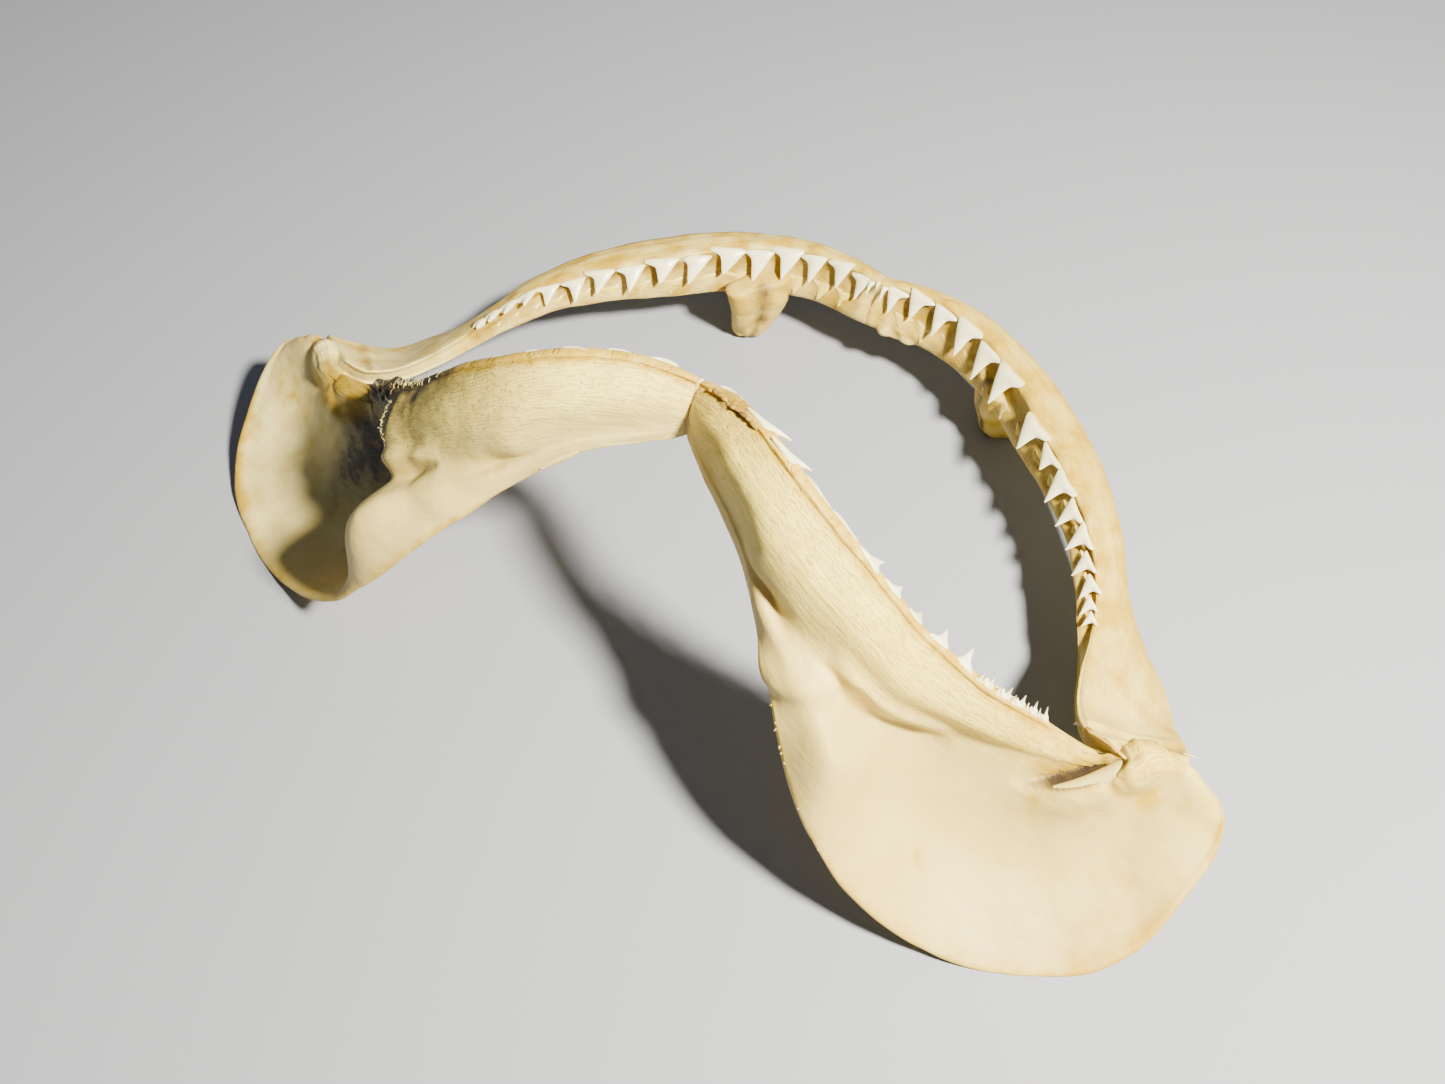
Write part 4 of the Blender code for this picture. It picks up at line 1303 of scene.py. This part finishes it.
for side, word in SIDES:
    add_piece("upper_teeth_" + word, upper_teeth(side), enamel)
    add_piece("lower_teeth_" + word, lower_teeth(side), enamel)
    add_piece("upper_spares_" + word, upper_spares(side), covered_tooth)
    add_piece("lower_spares_" + word, lower_spares(side), enamel)
add_piece("upper_teeth_middle", upper_middle_teeth(), enamel)

# %% [markdown]
# ## Knobs and seams
# Under the front of the upper jaw, one knob of cartilage hangs from each half, with a groove that
# makes two lobes of it. Dried skin closes the seam between the halves of each jaw.

# %% Knobs under the upper jaw
KNOB_MIDDLE = np.array((41.5, 95.0, 0.0))
KNOB_DRIED_APART = 5.5    # mm, the two knobs dried this far off their mirrored places
KNOB_TURN = math.radians(58.0)
KNOB_RINGS = table_columns((      # middle, half width to the front and to the back, half thickness
    ((-2.0, 2.0, 24.0), 14.0, 9.5, 5.0),
    ((-1.0, 1.0, 15.0), 10.5, 11.0, 6.0),
    ((0.5, 0.0, 7.5), 7.5, 9.5, 5.5),
    ((1.5, -1.0, 2.5), 5.0, 6.5, 4.5),
    ((2.0, -1.5, 0.2), 2.2, 3.2, 2.6),
))
KNOB_SIDES, KNOB_STEPS = 36, 22
LEFT_KNOB_THICKER = 1.2
LEFT_KNOB_FOOT = np.array((0.6, 2.6, 0.0))    # mm by which its foot stands further back
LEFT_KNOB_TAPER = 0.65    # width of the left knob's foot, as a share of the right one's
LOBE_ANGLE, LOBE_WIDTH, LOBE_DEPTH = 4.45, 0.30, 0.22    # the groove, in radians and a share


def knob(side):
    """One knob as a bmesh: a closed skin through the rings of its half."""
    surface = new_surface()
    wide = np.array((-math.cos(KNOB_TURN), math.sin(KNOB_TURN), 0.0))
    thick = np.array((math.sin(KNOB_TURN), math.cos(KNOB_TURN), 0.0))
    middle = KNOB_MIDDLE + (side * KNOB_DRIED_APART, 0.0, 0.0)
    rings = []
    for position in np.linspace(0.0, len(KNOB_RINGS[0]) - 1.0, KNOB_STEPS):
        offset, to_front, to_back, half_thickness = (spline(c, position) for c in KNOB_RINGS)
        if side > 0:
            to_front *= ramp(LEFT_KNOB_TAPER, 0.7, offset[2] / 14.0)
            half_thickness *= LEFT_KNOB_THICKER
            offset = offset + LEFT_KNOB_FOOT * ramp(1.0, 0.0, offset[2] / 20.0)
        ring = []
        for angle in round_angles(KNOB_SIDES):
            off_groove = angle - LOBE_ANGLE - 0.1 * math.sin(2.0 * position)
            half_width = to_back if math.cos(angle) > 0 else to_front
            point = wide * half_width * math.cos(angle) + thick * half_thickness * math.sin(angle)
            point = point * (1.0 - LOBE_DEPTH * near(off_groove, LOBE_WIDTH))
            ring.append((middle + offset + point) * (side, 1, 1))
        rings.append(np.array(ring))
    layers = layers_of(surface)
    for number, verts in enumerate(skin(surface, rings)):
        height = rings[number][0][2]
        for vert, angle in zip(verts, round_angles(KNOB_SIDES)):
            groove = near(angle - LOBE_ANGLE - 0.1 * math.sin(0.2 * number), 0.8 * LOBE_WIDTH)
            patch = cloud(np.array(vert.co) / MM, 5.0, 71.0)
            amber = 0.25 + 1.5 * patch * patch + 0.30 * near(height - 20.0, 3.0)
            # the brown in the groove between the lobes is painted shade
            brown, pale = 0.75 * groove, 0.1 * patch
            facts = (angle * 6.0, height, 1.0, 0.0, amber, brown, 0.0, pale, 0.0, 0.4)
            for layer, value in zip(layers, facts):
                vert[layer] = value
    close_off(surface)
    for vert in surface.verts:
        point = np.array(vert.co) / MM
        move = 1.1 * lumps(point, 5.0, 73.0) + 0.6 * lumps(point, 2.0, 75.0)
        vert.co += vert.normal * move * MM
        vert.co.z = max(0.0, vert.co.z)
    return surface


# %% Seams between the halves
SEAM_HALF = 0.8           # mm to each side of the middle
LOWER_SEAM = (0.97, 0.995, 1.0, 0.995, 0.97)       # size of the seam's outline across it
UPPER_SEAM = (0.94, 0.975, 0.98, 0.975, 0.94)


def seam(section, scales, share):
    """Dried skin over the joint of two halves: a slab in the outline of their first section."""
    surface = new_surface()
    outline = np.array([entry[0] for entry in section(0.0)])
    middle = outline.mean(axis=0)
    rings = []
    for across, scale in zip(np.linspace(-SEAM_HALF, SEAM_HALF, len(scales)), scales):
        ring = middle + (outline - middle) * scale
        ring[:, 0] = across
        rings.append(ring)
    pale = surface.verts.layers.float["pale"]
    for verts in skin(surface, rings):
        for vert in verts:
            point = np.array(vert.co) / MM
            vert[pale] = clamped(share + 0.6 * lumps(point, 5.0, 75.0))
            vert.co += Vector((0.0, 1.0, 1.0)) * 0.15 * MM * lumps(point, 2.0, 77.0)
    return surface


for side, word in SIDES:
    add_piece("knob_" + word, knob(side), cartilage)
add_piece("lower_seam", seam(lower_section, LOWER_SEAM, 0.35), gum_skin)
add_piece("upper_seam", seam(upper_section, UPPER_SEAM, 0.25), gum_skin)

# %% [markdown]
# ## Torn and dried tissue
# Where the jaws were cut out, fibres stand along the rims, a torn fringe is left at the joint on
# the animal's right, and a few strands cross the other joint. Each is a small tapered skin. The
# rolled lip of that joint is a thick strand, and one small crown is caught beside it.

# %% Strands
STRAND_SIDES = 6


def strand(surface, points, widths, flat=1.0, pale=0.0, turn=0.0, grey=0.0, sides=STRAND_SIDES):
    """A tapered strand through points, as wide as told at each; flat squashes it to a flake."""
    last = len(points) - 1
    rings = []
    for i, (point, width) in enumerate(zip(points, widths)):
        way = unit(points[min(i + 1, last)] - points[max(i - 1, 0)])
        across = unit(np.cross(way, UPRIGHT + 0.01))
        over = np.cross(way, across)
        across, over = (across * math.cos(turn) + over * math.sin(turn),
                        over * math.cos(turn) - across * math.sin(turn))
        rings.append(np.array([
            point + (across * math.cos(a) + over * flat * math.sin(a)) * width / 2
            for a in round_angles(sides)]))
    pale_layer, grey_layer = layers_of(surface, "pale", "grey")
    for verts in skin(surface, rings):
        for vert in verts:
            vert[pale_layer], vert[grey_layer] = pale, grey


def bowed(start, end, bow, steps=5):
    """Points from start to end, bowed to one side in the middle."""
    shares = np.linspace(0.0, 1.0, steps)
    return [start + (end - start) * s + bow * math.sin(math.pi * s) for s in shares]


def tuft(surface, point, way, before, past, bow, widths, **looks):
    """A strand that starts so far before a point and ends so far past it."""
    strand(surface, bowed(point - way * before, point + way * past, bow), widths, **looks)


def on_lower(row, down, side):
    """Point on the outer face of a lower half, its outward direction, its down and its run."""
    faces = lower_section(row, side)[:FACE_CUTS]
    downs = [entry[1] for entry in faces]
    points = np.array([entry[0] for entry in faces])
    here, further = (np.array([np.interp(d, downs, points[:, axis]) for axis in range(3)])
                     for d in (down, down + 1.0))
    if np.linalg.norm(further - here) < 0.1:
        further = here + unit(points[-1] - points[-2])
    way_down = unit(further - here)
    along = run_direction(LOWER[0] + LOWER[2], row)
    out = unit(np.cross(way_down, along))
    return [mirrored(vector, side) for vector in (here, out, way_down, along)]


def rim_of_lower(row):
    """Length of the outer face from the crest to the rim."""
    return lower_section(row)[FACE_CUTS - 1][1]


# %% Fibres along the rims
RIM_FIBRES = 80
OFF_FLOOR = 0.3           # mm, the lowest place of a fibre's middle line
tissue_dice = random.Random(11)


def rim_fibres(side):
    """Small flakes and fibres that stand out from the rim of a lower half."""
    surface = new_surface()
    for _ in range(RIM_FIBRES):
        row = tissue_dice.uniform(2.0, 12.5)
        point, out, down, along = on_lower(row, rim_of_lower(row) - 0.4, side)
        length = tissue_dice.uniform(0.3, 1.0)
        start = point - out * tissue_dice.uniform(0.3, 1.8)
        way = down + along * tissue_dice.uniform(-0.9, 0.9) + out * tissue_dice.uniform(-0.5, 0.3)
        end = start + way * length
        for place in (start, end):
            place[2] = max(OFF_FLOOR, place[2])
        bow = out * tissue_dice.uniform(-0.2, 0.2) * length
        width = tissue_dice.uniform(0.25, 0.9)
        widths = (width, width * 0.9, width * 0.7, width * 0.45, 0.06)
        strand(surface, bowed(start, end, bow), widths,
               flat=tissue_dice.uniform(0.25, 0.7), pale=tissue_dice.uniform(0.0, 0.7))
    return surface


# %% Torn fringe on the animal's right
TORN_FLAKES, TORN_HAIRS, FRAYED_THREADS = 30, 80, 36
FLAKE_WIDTHS = (1.3, 1.2, 0.9, 0.5, 0.1)
HAIR_WIDTHS = (0.18, 0.16, 0.12, 0.09, 0.03)
THREAD_WIDTHS = (0.22, 0.2, 0.16, 0.1, 0.03)


def torn_fringe():
    """Black flakes on the torn end of the bar, pale hairs on its crest, a frayed edge below."""
    surface = new_surface()
    for _ in range(TORN_FLAKES):
        row = tissue_dice.uniform(9.2, 11.6)
        point, out, down, along = on_lower(row, tissue_dice.uniform(0.0, 4.0), -1)
        way = unit(-down * 0.7 + out * tissue_dice.uniform(-0.2, 0.8)
                   + along * tissue_dice.uniform(-0.8, 0.8))
        length = tissue_dice.uniform(0.6, 1.8)
        tuft(surface, point, way, 1.0, length, out * 0.4, FLAKE_WIDTHS, flat=0.5,
             turn=tissue_dice.uniform(0.0, 3.0), grey=tissue_dice.uniform(0.75, 1.0))
    for _ in range(TORN_HAIRS):
        row = 11.4 - 4.6 * tissue_dice.random() ** 1.6
        point, out, down, along = on_lower(row, tissue_dice.uniform(0.0, 1.2), -1)
        way = unit(-down * 0.9 - along * tissue_dice.uniform(0.0, 1.0)
                   + out * tissue_dice.uniform(-0.4, 0.4))
        length = tissue_dice.uniform(0.5, 2.6)
        tuft(surface, point, way, 0.5, length, out * 0.3, HAIR_WIDTHS,
             pale=1.0, grey=tissue_dice.uniform(0.0, 0.5))
    for i in range(FRAYED_THREADS):
        share = i / (FRAYED_THREADS - 1)
        row = 8.9 + 0.2 * tissue_dice.random()
        point, out, down, along = on_lower(row, 5.0 + 13.0 * share, -1)
        way = unit(along * tissue_dice.uniform(-0.5, 1.0) + down * tissue_dice.uniform(-0.3, 0.9)
                   + out * 0.3)
        length = tissue_dice.uniform(0.2, 0.9)
        tuft(surface, point, way, 0.4, length, out * 0.2, THREAD_WIDTHS, flat=0.6,
             pale=1.0, grey=tissue_dice.uniform(0.0, 0.4))
    return surface


# %% Strands at the other joint
JOINT_STRAND = (np.array((106.8, -2.8, 34.6)), np.array((118.0, -5.8, 35.0)))
SPLINTER = (np.array((130.0, 9.8, 22.2)), np.array((134.2, 10.3, 22.6)))
JOINT_WIDTHS = (1.5, 1.5, 1.3, 1.1, 1.0, 0.9, 1.0, 1.2, 1.0)
SPLINTER_WIDTHS = (0.9, 0.7, 0.6, 0.4, 0.1)
FOLDED_STRANDS, FOLDED_WIDTHS = 10, (0.6, 1.3, 1.7, 1.2, 0.4)


def joint_strands():
    """A dried strand over the joint, a splinter below it and folded tissue beside the middle."""
    surface = new_surface()
    strand(surface, bowed(*JOINT_STRAND, UPRIGHT * 0.8, len(JOINT_WIDTHS)), JOINT_WIDTHS, flat=0.6)
    strand(surface, bowed(*SPLINTER, UPRIGHT * 0.3), SPLINTER_WIDTHS, pale=0.8)
    for i in range(FOLDED_STRANDS):
        point, out, down, along = on_lower(0.6 + 0.17 * i, tissue_dice.uniform(0.0, 0.8), 1)
        way = unit(along + down * tissue_dice.uniform(-0.5, 0.3))
        length = tissue_dice.uniform(2.5, 4.5)
        tuft(surface, point, way, length / 2, length / 2, out * tissue_dice.uniform(0.2, 0.9),
             FOLDED_WIDTHS, flat=0.5, grey=tissue_dice.uniform(0.0, 0.75))
    return surface


# %% Lip of the joint on the animal's left
LIP_ROWS, LIP_BELOW = (13.0, 17.1), 1.4             # rows of the lower table, mm below the crack
LIP_WIDTHS = (0.4, 1.6, 2.6, 3.4, 3.9, 4.2, 4.4, 4.4, 4.2, 3.6, 2.4)
LIP_SUNK, LIP_HIGHEST = 0.5, 0.6                    # mm into the face, mm down from the crest


def joint_lip_roll():
    """The rolled edge of the lip, which hangs over the crack where the bar dips under it."""
    surface = new_surface()
    points = []
    for row in np.linspace(*LIP_ROWS, len(LIP_WIDTHS)):
        down = max(LIP_HIGHEST, JOINT_SLOPE * (JOINT_ROW - row) + LIP_BELOW)
        point, out, _, _ = on_lower(row, down, 1)
        points.append(point - out * LIP_SUNK)
    strand(surface, points, LIP_WIDTHS, sides=12)
    return surface


# %% Flap of dried skin on the animal's right
FLAP_ROWS, FLAP_REACH, FLAP_HALF_THICK = (2.5, 3.7), 2.6, 0.35      # rows, mm, mm
FLAP_STEPS, FLAP_SIDES = 13, 10


def rim_flap():
    """A pale flap that hangs past the rim of the right half."""
    surface = new_surface()
    rings = []
    for share in np.linspace(0.0, 1.0, FLAP_STEPS):
        row = FLAP_ROWS[0] + (FLAP_ROWS[1] - FLAP_ROWS[0]) * share
        point, out, down, _ = on_lower(row, rim_of_lower(row) - 1.0, -1)
        arch = math.sin(math.pi * share)
        reach = FLAP_REACH * arch ** 0.6 * (0.8 + 0.4 * lumps(point, 4.0, 81.0)) + 0.4
        ring = []
        for angle in round_angles(FLAP_SIDES):
            hung = 0.5 - 0.5 * math.cos(angle)
            away = -0.6 * arch * hung ** 2 + FLAP_HALF_THICK * math.sin(angle)
            ring.append(point + down * hung * reach + out * away)
        rings.append(np.array(ring))
    pale = surface.verts.layers.float["pale"]
    for verts in skin(surface, rings):
        for vert in verts:
            vert[pale] = 0.8
    return surface


# %% A loose tooth
LOOSE_SEAT = np.array((
    (104.9, -0.6, 30.4), (1.0, 0.2, 0.0), (0.3, -0.5, 0.8), (0.0, 0.3, -0.9), (0.0, -1.0, 0.2)))
LOOSE_CROWN = Crown((1.9, 1.9), 0.1, 0.4, 1.2)


def loose_tooth():
    """A small crown caught at the joint."""
    surface = new_teeth()
    add_crown(surface, small_block, UPPER_EDGES, LOOSE_SEAT, LOOSE_CROWN, 1)
    return surface


for side, word in SIDES:
    add_piece("rim_fibres_" + word, rim_fibres(side), gum_skin)
add_piece("torn_fringe", torn_fringe(), gum_skin)
add_piece("joint_strands", joint_strands(), gum_skin)
add_piece("joint_lip", joint_lip_roll(), cartilage)
add_piece("rim_flap", rim_flap(), gum_skin)
add_piece("loose_tooth", loose_tooth(), enamel)

# %% [markdown]
# ## Floor and light
# The floor is plain and pale. One soft lamp stands to the right and above, as the sun does in the
# photo, and a pale world fills the shadows.

# %% Floor
FLOOR_COLOUR, FLOOR_ROUGHNESS = (0.285, 0.30, 0.375, 1.0), 0.8
FLOOR_HALF = 3.0          # m
floor_surface = bmesh.new()
bmesh.ops.create_grid(floor_surface, x_segments=1, y_segments=1, size=FLOOR_HALF)
floor_mesh = bpy.data.meshes.new("floor")
floor_surface.to_mesh(floor_mesh)
floor_surface.free()
floor = bpy.data.objects.new("floor", floor_mesh)
bpy.context.scene.collection.objects.link(floor)
floor_material, _, floor_shader = new_material("pale_floor")
floor_shader.inputs["Base Color"].default_value = FLOOR_COLOUR
floor_shader.inputs["Roughness"].default_value = FLOOR_ROUGHNESS
floor_mesh.materials.append(floor_material)

# %% Light
LAMP_DIRECTION = unit(np.array((0.70, -0.11, 1.0)))
LAMP_AWAY, LAMP_SIZE, LAMP_POWER = 0.65, 0.085, 24.0         # m, m, W
LAMP_COLOUR = (1.0, 0.94, 0.73)
WORLD_COLOUR, WORLD_STRENGTH = (0.84, 0.91, 1.0, 1.0), 0.16
lamp_data = bpy.data.lights.new("lamp", "AREA")
lamp_data.shape = "DISK"
lamp_data.size = LAMP_SIZE
lamp_data.energy = LAMP_POWER
lamp_data.color = LAMP_COLOUR
lamp = bpy.data.objects.new("lamp", lamp_data)
lamp.location = LAMP_DIRECTION * LAMP_AWAY
lamp.rotation_euler = Vector(LAMP_DIRECTION).to_track_quat("Z", "Y").to_euler()
bpy.context.scene.collection.objects.link(lamp)
world = bpy.data.worlds.new("studio")
world.use_nodes = True
background = world.node_tree.nodes["Background"]
background.inputs["Color"].default_value = WORLD_COLOUR
background.inputs["Strength"].default_value = WORLD_STRENGTH
bpy.context.scene.world = world
